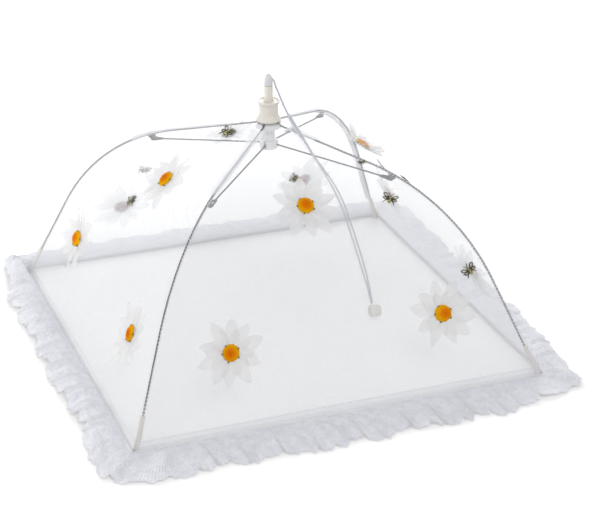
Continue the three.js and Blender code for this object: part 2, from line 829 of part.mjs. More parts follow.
function beadGeometry() {
  const core = beadSize / 2 - beadBevel;
  const face = new THREE.Shape([[-core, -core], [core, -core], [core, core], [-core, core]]
    .map(([x, y]) => new THREE.Vector2(x, y)));
  const geometry = new THREE.ExtrudeGeometry(face, {
    depth: 2 * core, bevelThickness: beadBevel, bevelSize: beadBevel, bevelSegments: 2,
  });
  return geometry.translate(0, 0, -core);
}

// The crown, hubs, pivot rings and plunger, all round the middle
addMesh('crown', crownGeometry(), creamPlastic);
addMesh('rib_hub', hubGeometry(), clearPlastic);
addMesh('rib_ring', ringGeometry(ribPivotRadius, ribRingWireRadius, crownPivotHeight), brightSteel);
addMesh('plunger', plungerGeometry(), creamPlastic);
addMesh('plunger_tip', tipGeometry(), clearPlastic);
addMesh('runner_hub', runnerGeometry(), clearPlastic);
addMesh('strut_ring', ringGeometry(strutPivotRadius, strutRingWireRadius, runnerPivotHeight), brightSteel);

// The four arms of the frame
for (const { name, turn } of corners) {
  addMesh(`rib_${name}`, ribGeometry(), darkSteel, turn);
  addMesh(`clip_${name}`, clipGeometry(), brightSteel, turn);
  addMesh(`strut_${name}`, strutGeometry(), darkSteel, turn);
  addMesh(`pocket_${name}`, pocketGeometry(), pocketCloth, turn);
}

// The four sides of the net, with their frill and flowers
for (const { name, turn, halves } of panels) {
  for (const [k, side] of [-1, 1].entries()) {
    addMesh(`net_${name}_${halves[k]}`, halfPanelGeometry(side), whiteNet, turn);
    addMesh(`lace_${name}_${halves[k]}`, laceGeometry(side), whiteLace, turn);
    const daisy = daisyGeometry(side * sideDaisyOffset, sideDaisyHeight);
    addMesh(`daisy_${name}_${halves[k]}`, daisy, whiteSatin, turn);
  }
  addMesh(`daisy_${name}_top`, daisyGeometry(0, crownPivotHeight - topDaisyDrops[name]), whiteSatin, turn);
}

// The cord and its bead
addMesh('pull_cord', cordGeometry(), whiteCord);
const beadPlace = placeOnNet(beadOffset, beadHeight);
const bead = addMesh('cord_bead', beadGeometry(), whiteCord);
bead.position.copy(sewnPoint(beadPlace, 0, 0, netThickness + sewingGap + beadSize / 2));
bead.rotation.x = panelAt(beadPlace.distance, 0).slope;

export default group;
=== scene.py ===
import json
import math

import bpy
import numpy as np
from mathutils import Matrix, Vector


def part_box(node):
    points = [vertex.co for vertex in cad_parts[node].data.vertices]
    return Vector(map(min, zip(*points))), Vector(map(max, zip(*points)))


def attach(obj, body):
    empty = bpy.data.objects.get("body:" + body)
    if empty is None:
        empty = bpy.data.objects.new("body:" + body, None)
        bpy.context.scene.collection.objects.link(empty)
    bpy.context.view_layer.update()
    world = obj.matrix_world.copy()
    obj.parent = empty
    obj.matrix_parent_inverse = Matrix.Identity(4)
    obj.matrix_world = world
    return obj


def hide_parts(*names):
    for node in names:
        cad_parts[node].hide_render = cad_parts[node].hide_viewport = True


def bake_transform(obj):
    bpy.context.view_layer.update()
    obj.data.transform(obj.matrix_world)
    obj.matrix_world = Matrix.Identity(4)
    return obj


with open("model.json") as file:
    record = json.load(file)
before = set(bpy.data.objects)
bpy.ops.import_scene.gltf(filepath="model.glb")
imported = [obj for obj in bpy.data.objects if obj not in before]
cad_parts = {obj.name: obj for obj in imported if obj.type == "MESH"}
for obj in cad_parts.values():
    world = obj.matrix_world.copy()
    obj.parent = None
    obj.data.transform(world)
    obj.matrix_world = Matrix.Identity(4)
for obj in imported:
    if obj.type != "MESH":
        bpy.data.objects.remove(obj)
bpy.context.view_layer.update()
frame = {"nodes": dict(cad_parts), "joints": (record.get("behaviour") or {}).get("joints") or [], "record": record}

# Camera: stands in front of the cover and to its left, about 25 degrees above the table.
# Its place and its long lens are those that put the four rib feet where the photograph has them.
camera_place = Vector((-0.5685, -1.5745, 0.8546))
camera_aim = Vector((0.3226, 0.8456, -0.4253))
camera = bpy.data.objects.new("camera", bpy.data.cameras.new("camera"))
camera.data.sensor_width = 36
camera.data.lens = 111.56
camera.location = camera_place
camera.rotation_mode = "QUATERNION"
camera.rotation_quaternion = camera_aim.to_track_quat("-Z", "Y")
bpy.context.scene.collection.objects.link(camera)
bpy.context.scene.camera = camera
bpy.context.scene.view_settings.view_transform = "Standard"

# Soft light: a pale dome all round, one wide lamp in front at half height, whose soft shadows fall
# back over the table, a second one low on the left, and a very wide one behind that shines through
# the far cloth. The dome is plain white where it is seen.
dome_strength = 0.46
lamps = {
    "front_lamp": (22, 0.8, Vector((-0.25, -1.75, 1.75))),
    "left_lamp": (6, 0.6, Vector((-1.2, 0.35, 0.30))),
    "back_lamp": (12, 1.0, Vector((0.45, 1.05, 0.85))),
}


def place(tree, kind, *values, **settings):
    """Adds one node with its settings, and wires or sets its inputs in order."""
    node = tree.nodes.new("ShaderNode" + kind)
    for name, value in settings.items():
        setattr(node, name, value)
    for socket, value in zip(node.inputs, values):
        if isinstance(value, bpy.types.NodeSocket):
            tree.links.new(value, socket)
        elif value is not None:
            socket.default_value = value
    return node.outputs[0] if node.outputs else None


def calc(tree, operation, *values):
    """The result of one sum on sockets or numbers."""
    return place(tree, "Math", *values, operation=operation)


def seen_directly(tree):
    """1 for rays from the camera and for those that a gloss or glass sends on."""
    rays = place(tree, "LightPath").node.outputs
    either = calc(tree, "MAXIMUM", rays["Is Camera Ray"], rays["Is Glossy Ray"])
    return calc(tree, "MAXIMUM", either, rays["Is Transmission Ray"])


world = bpy.data.worlds.new("dome")
world.use_nodes = True
world.node_tree.nodes.clear()
dome = place(
    world.node_tree, "Background", (1, 1, 1, 1),
    place(world.node_tree, "MapRange", seen_directly(world.node_tree), 0, 1, dome_strength, 1),
)
place(world.node_tree, "OutputWorld", dome)
bpy.context.scene.world = world

for name, (power, width, stand) in lamps.items():
    lamp = bpy.data.objects.new(name, bpy.data.lights.new(name, "AREA"))
    lamp.data.energy = power
    lamp.data.size = width
    lamp.location = stand
    lamp.rotation_mode = "QUATERNION"
    lamp.rotation_quaternion = (-stand).to_track_quat("-Z", "Y")
    bpy.context.scene.collection.objects.link(lamp)

# Table: a plain white top that the cover stands on. Under the net it keeps the soft shadows; round
# the cover it grows whiter to the eye, so that it meets the white dome without an edge.
table_size = 6
table_white = 0.78
net_reach = 0.20
frill_reach = 0.26
clear_reach = 0.80
glow_under_net = 0.13
glow_at_frill = 0.34
glow_far_off = 0.72


def new_material(name):
    """A material with an empty tree."""
    material = bpy.data.materials.new(name)
    material.use_nodes = True
    material.node_tree.nodes.clear()
    return material


def table_material():
    """Dull white that glows a little to the eye, the more the farther it is from the cover."""
    material = new_material("table")
    tree = material.node_tree
    where = place(tree, "SeparateXYZ", place(tree, "TexCoord").node.outputs["Object"]).node.outputs
    out = calc(tree, "MAXIMUM", calc(tree, "ABSOLUTE", where[0]), calc(tree, "ABSOLUTE", where[1]))
    near = place(tree, "MapRange", out, net_reach, frill_reach, glow_under_net, glow_at_frill)
    far = place(tree, "MapRange", out, frill_reach, clear_reach, 0.0, glow_far_off - glow_at_frill)
    glow = calc(tree, "MULTIPLY", calc(tree, "ADD", near, far), seen_directly(tree))
    bsdf = place(tree, "BsdfPrincipled").node
    bsdf.inputs["Base Color"].default_value = (table_white, table_white, table_white, 1)
    bsdf.inputs["Roughness"].default_value = 0.9
    bsdf.inputs["Emission Color"].default_value = (1, 1, 1, 1)
    tree.links.new(glow, bsdf.inputs["Emission Strength"])
    place(tree, "OutputMaterial", bsdf.outputs[0])
    return material


table_mesh = bpy.data.meshes.new("table")
table_half = table_size / 2
table_mesh.from_pydata(
    [(x * table_half, y * table_half, 0) for x, y in ((-1, -1), (1, -1), (1, 1), (-1, 1))],
    [], [(0, 1, 2, 3)],
)
table = bpy.data.objects.new("table", table_mesh)
table_mesh.materials.append(table_material())
bpy.context.scene.collection.objects.link(table)

# Crown, plunger and tip: moulded plastic pieces, turned round the middle. The crown and plunger are
# cream, the sleeve on the plunger is white, and the tip is greyer. The crown's waist is fluted.
turn_steps = 96
cream = (0.76, 0.735, 0.675, 1)
cream_shade = (0.66, 0.62, 0.54, 1)
milky = (0.96, 0.96, 0.955, 1)
milky_shade = (0.90, 0.90, 0.89, 1)
smoky = (0.80, 0.80, 0.82, 1)
smoky_shade = (0.66, 0.67, 0.71, 1)
pivot_height = frame["joints"][1]["pos_m"][2]
pivot_radius = math.hypot(*frame["joints"][1]["pos_m"][:2])
joint_named = {joint["name"]: joint for joint in frame["joints"]}


def finish_with(material, **sockets):
    """Adds the surface shader, with values or wires for the sockets that are named."""
    tree = material.node_tree
    bsdf = place(tree, "BsdfPrincipled").node
    for name, value in sockets.items():
        socket = bsdf.inputs[name.replace("_", " ")]
        if isinstance(value, bpy.types.NodeSocket):
            tree.links.new(value, socket)
        else:
            socket.default_value = value
    place(tree, "OutputMaterial", bsdf.outputs[0])
    return material


def group_called(name, inputs, outputs):
    """An empty node group with its sockets, and its two end nodes."""
    tree = bpy.data.node_groups.new(name, "ShaderNodeTree")
    for socket, kind, value in inputs:
        tree.interface.new_socket(socket, in_out="INPUT", socket_type=kind).default_value = value
    for socket, kind in outputs:
        tree.interface.new_socket(socket, in_out="OUTPUT", socket_type=kind)
    return tree, tree.nodes.new("NodeGroupInput").outputs, tree.nodes.new("NodeGroupOutput").inputs


def blended(tree, share, first, second):
    """From the first colour to the second by a share; each is a socket or a colour."""
    mix = tree.nodes.new("ShaderNodeMix")
    mix.data_type = "RGBA"
    tree.links.new(share, mix.inputs["Factor"])
    for socket, color in ((mix.inputs[6], first), (mix.inputs[7], second)):
        if isinstance(color, bpy.types.NodeSocket):
            tree.links.new(color, socket)
        else:
            socket.default_value = color
    return mix.outputs[2]


def mottle_group():
    """Slow and fine variation of a colour, its roughness and its height."""
    slow_detail, fine_detail, fine_over_slow, roughness_spread = 3.0, 2.0, 6.0, 0.3
    tree, given, made = group_called(
        "mottle",
        [("Color", "NodeSocketColor", (1, 1, 1, 1)), ("Shade", "NodeSocketColor", (0, 0, 0, 1)),
         ("Amount", "NodeSocketFloat", 0.2), ("Scale", "NodeSocketFloat", 200.0),
         ("Roughness", "NodeSocketFloat", 0.4)],
        [("Color", "NodeSocketColor"), ("Roughness", "NodeSocketFloat"), ("Height", "NodeSocketFloat")],
    )
    where = place(tree, "TexCoord").node.outputs["Object"]
    slow = place(tree, "TexNoise", where, None, given["Scale"], slow_detail)
    fine_scale = calc(tree, "MULTIPLY", given["Scale"], fine_over_slow)
    fine = place(tree, "TexNoise", where, None, fine_scale, fine_detail)
    share = calc(tree, "MULTIPLY", calc(tree, "MULTIPLY", slow, fine), given["Amount"])
    tree.links.new(blended(tree, share, given["Color"], given["Shade"]), made["Color"])
    spread = calc(tree, "SUBTRACT", slow, 0.5)
    rough = calc(tree, "MULTIPLY_ADD", spread, roughness_spread, given["Roughness"])
    tree.links.new(rough, made["Roughness"])
    tree.links.new(fine, made["Height"])
    return tree


mottle = mottle_group()


def use_group(material, group, **values):
    """Places a group in a material and returns its outputs."""
    node = material.node_tree.nodes.new("ShaderNodeGroup")
    node.node_tree = group
    for name, value in values.items():
        socket = node.inputs[name.replace("_", " ")]
        if isinstance(value, bpy.types.NodeSocket):
            material.node_tree.links.new(value, socket)
        else:
            socket.default_value = value
    return node.outputs


def bump_of(material, height, strength, distance):
    """The normals that a height in the surface gives."""
    bump = place(material.node_tree, "Bump", strength, distance).node
    material.node_tree.links.new(height, bump.inputs["Height"])
    return bump.outputs[0]


def mottled_material(name, color, shade, amount, scale, roughness, strength, distance, **sockets):
    """Two near shades over the surface and a fine grain of the given bump; sockets go to the shader."""
    material = new_material(name)
    look = use_group(material, mottle, Color=color, Shade=shade, Amount=amount, Scale=scale,
                     Roughness=roughness)
    return finish_with(
        material,
        Base_Color=look["Color"],
        Roughness=look["Roughness"],
        Normal=bump_of(material, look["Height"], strength=strength, distance=distance),
        **sockets,
    )


def plastic_material(name, color, shade, see_through, bends_light=1.46):
    """Moulded plastic: nearly one colour, half dull, and light sinks a little way into it."""
    return mottled_material(
        name, color, shade, amount=0.35, scale=90.0, roughness=0.42, strength=0.15, distance=0.0001,
        Transmission_Weight=see_through, Subsurface_Weight=0.25, Subsurface_Radius=(0.004, 0.0035, 0.003),
        Subsurface_Scale=1.0, IOR=bends_light,
    )


cream_plastic = plastic_material("moulded_cream", cream, cream_shade, see_through=0.05)
clear_plastic = plastic_material("moulded_clear", milky, milky_shade, see_through=0.05, bends_light=1.3)
tip_plastic = plastic_material("moulded_tip", smoky, smoky_shade, see_through=0.25, bends_light=1.15)


def new_piece(name, points, faces, material, body=None, uv=None, smooth=True):
    """A mesh piece in the frame; uv is one pair for each point. It rides on a body if one is named."""
    mesh = bpy.data.meshes.new(name)
    mesh.from_pydata(np.asarray(points, float).reshape(-1, 3).tolist(), [], faces)
    if uv is not None:
        layer = mesh.uv_layers.new(name="UVMap")
        corner = np.zeros(len(mesh.loops), np.int32)
        mesh.loops.foreach_get("vertex_index", corner)
        layer.data.foreach_set("uv", np.asarray(uv, float).reshape(-1, 2)[corner].ravel())
    mesh.polygons.foreach_set("use_smooth", [smooth] * len(mesh.polygons))
    mesh.materials.append(material)
    mesh.update()
    piece = bpy.data.objects.new(name, mesh)
    bpy.context.scene.collection.objects.link(piece)
    if body:
        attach(piece, body)
    return piece


def ring_faces(rings, count, closed=False):
    """Faces between rings of count points; closed joins the last ring to the first."""
    faces = []
    for i in range(rings if closed else rings - 1):
        for j in range(count):
            a, b = i * count + j, i * count + (j + 1) % count
            c, d = (i + 1) % rings * count + (j + 1) % count, (i + 1) % rings * count + j
            faces.append((a, b, c, d))
    return faces


def rounded(outline, radius):
    """The closed outline of a turned piece with its corners rounded off."""
    most_of_side, corner_steps = 0.45, 4
    corners = np.array(outline, float)
    made = []
    for before, corner, after in zip(np.roll(corners, 1, 0), corners, np.roll(corners, -1, 0)):
        reach = [min(radius, np.linalg.norm(end - corner) * most_of_side) for end in (before, after)]
        start = corner + (before - corner) / np.linalg.norm(before - corner) * reach[0]
        end = corner + (after - corner) / np.linalg.norm(after - corner) * reach[1]
        for t in np.linspace(0, 1, corner_steps):
            made.append((1 - t) ** 2 * start + 2 * t * (1 - t) * corner + t * t * end)
    return np.array(made)


def turned_piece(name, outline, edge, material, body, swell=None):
    """Turns a closed outline of [radius, height] round Z; swell(angle, height) is added to its radius."""
    section = rounded(outline, edge)
    angles = np.linspace(0, 2 * math.pi, turn_steps, endpoint=False)
    points = []
    for radius, height in section:
        reach = radius + (swell(angles, radius, height) if swell else 0)
        level = np.full(turn_steps, height)
        points.append(np.stack([reach * np.cos(angles), reach * np.sin(angles), level], 1))
    return new_piece(name, np.concatenate(points), ring_faces(len(section), turn_steps, True), material, body)


crown_low, crown_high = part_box("crown")
cap_height = 0.020
flange_bottom = crown_high.z - cap_height
flange_radius = crown_high.x
flange_edge = 0.002
flange_slope = 0.003
waist_from = 0.006
waist_radius = 0.0092
flute_count = 8
flute_depth = 0.00045
flute_from = 0.0062
flute_length = 0.0085
flute_rows = (0.0066, 0.0105, 0.0143)
flute_inside = 0.0085
rim_radius = 0.011
rim_height = 0.005
rim_lip = 0.001
top_groove = 0.0013
core_below_rim = 0.0007
crown_bore = 0.0047
sleeve_radius = 0.0063
core_radius = 0.0062
crown_edge = 0.0006


def flutes(angles, radius, height):
    """Eight shallow upright grooves round the waist."""
    up = (height - flange_bottom - flute_from) / flute_length
    inside = 0 < up < 1 and radius > flute_inside
    return -flute_depth * np.maximum(0, np.cos(flute_count * angles)) ** 3 if inside else 0 * angles


crown_outline = [
    (crown_bore, crown_low.z), (sleeve_radius, crown_low.z), (sleeve_radius, flange_bottom),
    (flange_radius, flange_bottom), (flange_radius, flange_bottom + flange_edge),
    (flange_radius - rim_lip, flange_bottom + flange_slope), (waist_radius, flange_bottom + waist_from),
    *[(waist_radius, flange_bottom + row) for row in flute_rows], (waist_radius, crown_high.z - rim_height),
    (rim_radius, crown_high.z - rim_lip), (rim_radius, crown_high.z), (rim_radius - rim_lip, crown_high.z),
    (waist_radius - rim_lip, crown_high.z - top_groove), (core_radius, crown_high.z - top_groove),
    (core_radius, crown_high.z - core_below_rim), (crown_bore, crown_high.z - core_below_rim),
]
crown = turned_piece("crown_cap", crown_outline, crown_edge, cream_plastic, "crown", flutes)
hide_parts("crown")

plunger_low, plunger_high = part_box("plunger")
tip_low, tip_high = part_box("plunger_tip")
plunger_radius = tip_high.x
foot_radius = plunger_high.x
foot_thickness = 0.0012
spigot_radius = 0.0024
plunger_edge = 0.0003
fit_gap = 0.0003
axis_gap = 0.0001
plunger_outline = [
    (axis_gap, plunger_low.z), (foot_radius, plunger_low.z), (foot_radius, plunger_low.z + foot_thickness),
    (plunger_radius, plunger_low.z + foot_thickness), (plunger_radius, tip_low.z - fit_gap),
    (spigot_radius, tip_low.z - fit_gap), (spigot_radius, plunger_high.z), (axis_gap, plunger_high.z),
]
plunger = turned_piece("plunger_rod", plunger_outline, plunger_edge, cream_plastic, "plunger")
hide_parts("plunger")

tip_edge = 0.0005
tip_draft = 0.0002
tip_straight = 0.003
shoulder_radius, shoulder_below = 0.0038, 0.0045
neck_radius, neck_below = 0.0028, 0.0014
crest_radius = 0.0014
tip_outline = [
    (axis_gap, plunger_high.z + fit_gap), (spigot_radius + fit_gap, plunger_high.z + fit_gap),
    (spigot_radius + fit_gap, tip_low.z), (plunger_radius, tip_low.z),
    (plunger_radius - tip_draft, tip_low.z + tip_straight), (shoulder_radius, tip_high.z - shoulder_below),
    (neck_radius, tip_high.z - neck_below), (crest_radius, tip_high.z), (axis_gap, tip_high.z),
]
tip = turned_piece("tip_cap", tip_outline, tip_edge, tip_plastic, "plunger")
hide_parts("plunger_tip")

runner_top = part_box("runner_hub")[1].z
runner_sleeve_radius = 0.0057
runner_sleeve_edge = 0.0004
runner_sleeve_top = crown_low.z - 0.0004
runner_sleeve_outline = [
    (plunger_radius + axis_gap, runner_top + axis_gap), (runner_sleeve_radius, runner_top + axis_gap),
    (runner_sleeve_radius, runner_sleeve_top), (plunger_radius + axis_gap, runner_sleeve_top),
]
runner_sleeve = turned_piece(
    "runner_sleeve", runner_sleeve_outline, runner_sleeve_edge, clear_plastic, "plunger",
)

# Hubs: two slotted mouldings, one under the crown for the rib eyes and one on the plunger for the
# strut tabs. They are the milky plastic of the plunger's sleeve, with their moulded edges just broken.
hub_edge = 0.0003
smooth_up_to = math.radians(35)
broken_from = math.radians(40)


def dress(node, material, softened):
    """Gives a carried-over solid its material, smooth faces and slightly rounded edges."""
    piece = frame["nodes"][node]
    piece.data.materials.clear()
    piece.data.materials.append(material)
    piece.data.polygons.foreach_set("use_smooth", [True] * len(piece.data.polygons))
    piece.data.set_sharp_from_angle(angle=smooth_up_to)
    bevel = piece.modifiers.new("broken_edges", "BEVEL")
    bevel.width = softened
    bevel.segments = 2
    bevel.limit_method = "ANGLE"
    bevel.angle_limit = broken_from
    return piece


for node in ("rib_hub", "runner_hub"):
    dress(node, clear_plastic, hub_edge)

# Ribs, clips and rings: sprung steel wires with an eye at the hub, small sheet gussets fixed under
# them, and the two wire rings that carry eyes and tabs. The steel is dark and dull, brighter where it
# rubs. A rib has an arm, a bend and a leg.


def steel_material(name, color, shade, roughness, shine):
    """Bare steel with a fine uneven skin."""
    return mottled_material(
        name, color, shade, amount=0.9, scale=700.0, roughness=roughness, strength=0.25, distance=0.00005,
        Metallic=shine, Specular_IOR_Level=0.2,
    )


dark_steel = steel_material(
    "dull_steel", (0.008, 0.008, 0.008, 1), (0.045, 0.042, 0.038, 1), roughness=0.60, shine=0.1,
)
bright_steel = steel_material(
    "rubbed_steel", (0.030, 0.030, 0.030, 1), (0.20, 0.19, 0.18, 1), roughness=0.45, shine=0.3,
)

foot_radius_out = math.hypot(*frame["record"]["mounts"][0]["pos_m"][:2])
arm_slope = math.radians(14)
leg_slope = math.radians(61)
bend_radius = 0.200
bend_angle = leg_slope - arm_slope
corner_radius = (
    math.tan(leg_slope) * foot_radius_out - pivot_height - math.tan(arm_slope) * pivot_radius
) / (math.tan(leg_slope) - math.tan(arm_slope))
bend_tangent = bend_radius * math.tan(bend_angle / 2)
arm_length = (corner_radius - pivot_radius) / math.cos(arm_slope) - bend_tangent
bend_length = bend_radius * bend_angle
leg_length = (foot_radius_out - corner_radius) / math.cos(leg_slope) - bend_tangent
rib_length = arm_length + bend_length + leg_length
arm_end = np.array([
    pivot_radius + arm_length * math.cos(arm_slope), pivot_height - arm_length * math.sin(arm_slope),
])
bend_centre = arm_end - bend_radius * np.array([math.sin(arm_slope), math.cos(arm_slope)])


def rib_slope(distance):
    """How steeply the rib's line falls at a distance from its pivot."""
    return arm_slope + np.clip((distance - arm_length) / bend_radius, 0, bend_angle)


def rib_at(distance, offset=0.0):
    """Radius and height on the rib's line at a distance from its pivot, lifted off it by an offset."""
    slope = rib_slope(distance)
    before = np.minimum(distance - arm_length, 0)
    past = np.maximum(distance - arm_length - bend_length, 0)
    radius = bend_centre[0] + bend_radius * np.sin(slope)
    height = bend_centre[1] + bend_radius * np.cos(slope)
    radius = radius + before * math.cos(arm_slope) + past * math.cos(leg_slope) + offset * np.sin(slope)
    height = height - before * math.sin(arm_slope) - past * math.sin(leg_slope) + offset * np.cos(slope)
    return radius, height


def capped_faces(rings, count):
    """Faces between rings of count points, with the first and the last ring filled."""
    last = (rings - 1) * count
    return ring_faces(rings, count) + [tuple(reversed(range(count))), tuple(range(last, last + count))]


def tube(line, radius, sides, ends_closed=True):
    """Points and faces of a tube along a line; radius is one value or one for each point."""
    never_along = [0.31, 0.27, 0.91]
    line = np.asarray(line, float)
    along = np.gradient(line, axis=0)
    along /= np.linalg.norm(along, axis=1)[:, None]
    side = np.cross(along[0], never_along)
    rings = []
    for point, ahead, thick in zip(line, along, np.broadcast_to(radius, len(line))):
        side = side - ahead * (side @ ahead)
        side /= np.linalg.norm(side)
        other = np.cross(ahead, side)
        angles = np.linspace(0, 2 * math.pi, sides, endpoint=False)[:, None]
        rings.append(point + thick * (np.cos(angles) * side + np.sin(angles) * other))
    faces = capped_faces(len(line), sides) if ends_closed else ring_faces(len(line), sides)
    return np.concatenate(rings), faces


def joined(*parts):
    """Several (points, faces) as one."""
    points, faces, first = [], [], 0
    for part_points, part_faces in parts:
        points.append(np.asarray(part_points, float).reshape(-1, 3))
        faces += [tuple(first + i for i in face) for face in part_faces]
        first += len(points[-1])
    return np.concatenate(points), faces


def smooth(t):
    """From 0 to 1 with a soft start and end, for t from 0 to 1."""
    t = np.clip(t, 0, 1)
    return t * t * (3 - 2 * t)


rib_wire_radius = 0.0009
rib_sides = 14
rib_eye_radius = 0.0013
rib_eye_wire = 0.0004
rib_eye_steps = 25
rib_eye_sides = 8
rib_steps = 90
rib_end_lift = 0.002
clip_edge = 0.00012
ring_edge = 0.00005
corner_names = ("front_left", "front_right", "back_right", "back_left")
corner_turns = {
    name: math.atan2(*reversed(joint_named["rib_fold_" + name]["pos_m"][:2])) for name in corner_names
}


def swung(points, turn):
    """Points drawn over +X, or over -Y for a panel, turned round Z."""
    c, s = math.cos(turn), math.sin(turn)
    return np.asarray(points, float) @ np.array([[c, s, 0], [-s, c, 0], [0, 0, 1]])


def in_rib_plane(radius, height):
    return np.stack([radius, 0 * radius, height], 1)


def rib_wire():
    """One rib from its eye to its foot, drawn over +X."""
    distance = np.linspace(rib_eye_radius, rib_length - rib_end_lift / math.sin(leg_slope), rib_steps)
    wire = tube(in_rib_plane(*rib_at(distance)), rib_wire_radius, rib_sides)
    around = np.linspace(0, 2 * math.pi, rib_eye_steps)
    out, up = rib_eye_radius * np.cos(around), rib_eye_radius * np.sin(around)
    eye_line = in_rib_plane(pivot_radius + out, pivot_height + up)
    return joined(wire, tube(eye_line, rib_eye_wire, rib_eye_sides))


wire_points, wire_faces = rib_wire()
for corner, turn in corner_turns.items():
    rib = new_piece("rib_wire_" + corner, swung(wire_points, turn), wire_faces, dark_steel, "rib_" + corner)
    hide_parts("rib_" + corner)
    dress("clip_" + corner, bright_steel, clip_edge)
for node in ("rib_ring", "strut_ring"):
    dress(node, bright_steel, ring_edge)

# Struts: thin steel sheet folded to a narrow channel, flattened to a tab on the runner's ring at its
# inner end, and opened to a fork at its outer end, which a rivet joins to the rib's gusset.
strut_in = float(np.hypot(*joint_named["strut_fold_front_left"]["pos_m"][:2]))
strut_in_height = joint_named["strut_fold_front_left"]["pos_m"][2]
strut_joint_radius = 0.129
rivet_below_rib = 0.005
bar_half = 0.0005
bar_depth = 0.0011
tab_half = 0.0009
tab_length = 0.004
tab_taper = 0.004
tab_past_ring = 0.0010
tab_flattened = 0.35
fork_half = 0.0016
fork_length = 0.011
fork_flare = 0.004
fork_flattened = 0.1
fork_sheet = 0.0003
cheek_radius = 0.0017
cheek_steps = 12
bar_into_fork = 0.4
rivet_head = 0.0014
rivet_head_height = 0.0006
rivet_profile = ((0.0, 1.0), (0.5, 0.85), (0.8, 0.5), (0.9, 0.1))
rivet_sides = 14
strut_stations = 60
wall_share = 0.5
line_samples = 4000


def strut_shape():
    """The folded channel, its two fork cheeks and their rivet heads, drawn in the rib's plane."""
    distance = np.linspace(0, rib_length, line_samples)
    joint_distance = float(np.interp(strut_joint_radius, rib_at(distance)[0], distance))
    rivet_radius, rivet_height = rib_at(joint_distance, -rivet_below_rib)
    rivet = np.array([rivet_radius, 0, rivet_height])
    root = np.array([strut_in, 0, strut_in_height])
    length = float(np.linalg.norm(rivet - root))
    ahead = (rivet - root) / length
    up = np.array([-ahead[2], 0, ahead[0]])
    aside = np.array([0, 1.0, 0])
    share = np.linspace(0, 1, strut_stations)
    at = share * (length - fork_length * (1 - bar_into_fork)) - tab_past_ring
    fork = smooth((at - (length - fork_length)) / fork_flare)
    tab = 1 - smooth((at - tab_length) / tab_taper)
    half = bar_half + (tab_half - bar_half) * tab + (fork_half - bar_half) * fork
    deep = bar_depth * (1 - tab_flattened * tab) * (1 - fork_flattened * fork)
    inner = 1 - wall_share
    section = [(-1, 1), (-1, -1), (1, -1), (1, 1), (inner, 1), (inner, -inner), (-inner, -inner), (-inner, 1)]
    rings = []
    for where, wide, tall in zip(at, half, deep):
        ring = [root + where * ahead + side * wide * aside + level * tall / 2 * up for side, level in section]
        rings.append(np.array(ring))
    parts = [(np.concatenate(rings), capped_faces(strut_stations, len(section)))]
    round_end = np.linspace(-math.pi / 2, math.pi / 2, cheek_steps)
    outline = [(length + cheek_radius * math.cos(turn), cheek_radius * math.sin(turn)) for turn in round_end]
    outline += [(length - fork_length, bar_depth / 2), (length - fork_length, -bar_depth / 2)]
    turn = np.linspace(0, 2 * math.pi, rivet_sides, endpoint=False)
    disc = rivet_head * (np.cos(turn)[:, None] * ahead + np.sin(turn)[:, None] * up)
    outer = fork_half + fork_sheet
    for side in (-1, 1):
        plate = [root + x * ahead + z * up + side * y * aside for y in (fork_half, outer) for x, z in outline]
        parts.append((np.array(plate), capped_faces(2, len(outline))))
        head = [
            rivet + side * (outer + rivet_head_height * level) * aside + reach * disc
            for level, reach in rivet_profile
        ]
        parts.append((np.concatenate(head), capped_faces(len(rivet_profile), rivet_sides)))
    return joined(*parts)


strut_points, strut_faces = strut_shape()
for corner, turn in corner_turns.items():
    points, body = swung(strut_points, turn), "strut_" + corner
    strut = new_piece("strut_channel_" + corner, points, strut_faces, dark_steel, body, smooth=False)
    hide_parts("strut_" + corner)

# Seam thread: white thread that binds each rib into the seam of the net, one slanting turn over the
# wire every few millimetres, from the first third of the arm down to the pocket.
stitch_pitch = 0.0034
stitch_radius = 0.00038
stitch_over = 0.00002
stitch_from = 0.040
stitch_turn_steps = 9
thread_sides = 5
pocket_length = 0.034
thread_white = (0.80, 0.80, 0.83, 1)
thread_shade = (0.58, 0.58, 0.64, 1)


def binding_thread():
    """One thread wound round the rib's wire, drawn in the rib's plane."""
    stop = rib_length - pocket_length
    turns = (stop - stitch_from) / stitch_pitch
    distance = np.linspace(stitch_from, stop, int(turns * stitch_turn_steps))
    around = 2 * math.pi * (distance - stitch_from) / stitch_pitch
    wound = rib_wire_radius + stitch_radius + stitch_over
    radius, height = rib_at(distance, wound * np.cos(around))
    return tube(np.stack([radius, wound * np.sin(around), height], 1), stitch_radius, thread_sides)


white_thread = mottled_material(
    "white_thread", thread_white, thread_shade, amount=0.8, scale=900.0, roughness=0.8, strength=0.4,
    distance=0.0001, Sheen_Weight=0.2,
)
thread_points, thread_faces = binding_thread()
for corner, turn in corner_turns.items():
    body = "rib_" + corner
    thread = new_piece("seam_thread_" + corner, swung(thread_points, turn), thread_faces, white_thread, body)

# Net: fine white polyester mesh, about 1.2 mm from thread to thread, cut as four panels that are
# seamed over the ribs. Each half panel hangs from its own rib, and the hem is the same net turned up
# and stitched twice.
net_offset = 0.0022
net_offset_at_pocket = 0.0041
pocket_blend = 0.026
net_top_radius = 0.0084
net_lift = 0.0008
net_bow = 0.009
square_from = 0.016
square_at = 0.056
hem_width = 0.010
hem_gap = 0.0007
net_columns = 44
net_gap_at_rib = 0.0011
net_pitch = 0.00125
net_thread = 0.20
mesh_color = (0.85, 0.86, 0.885, 1)
mesh_shade = (0.70, 0.71, 0.77, 1)
panel_turns = {"front": 0.0, "right": math.pi / 2, "back": math.pi, "left": 3 * math.pi / 2}
half_panels = [
    ("front", "left", -1, "front_left"), ("front", "right", 1, "front_right"),
    ("right", "front", -1, "front_right"), ("right", "back", 1, "back_right"),
    ("back", "right", -1, "back_right"), ("back", "left", 1, "back_left"),
    ("left", "back", -1, "back_left"), ("left", "front", 1, "front_left"),
]


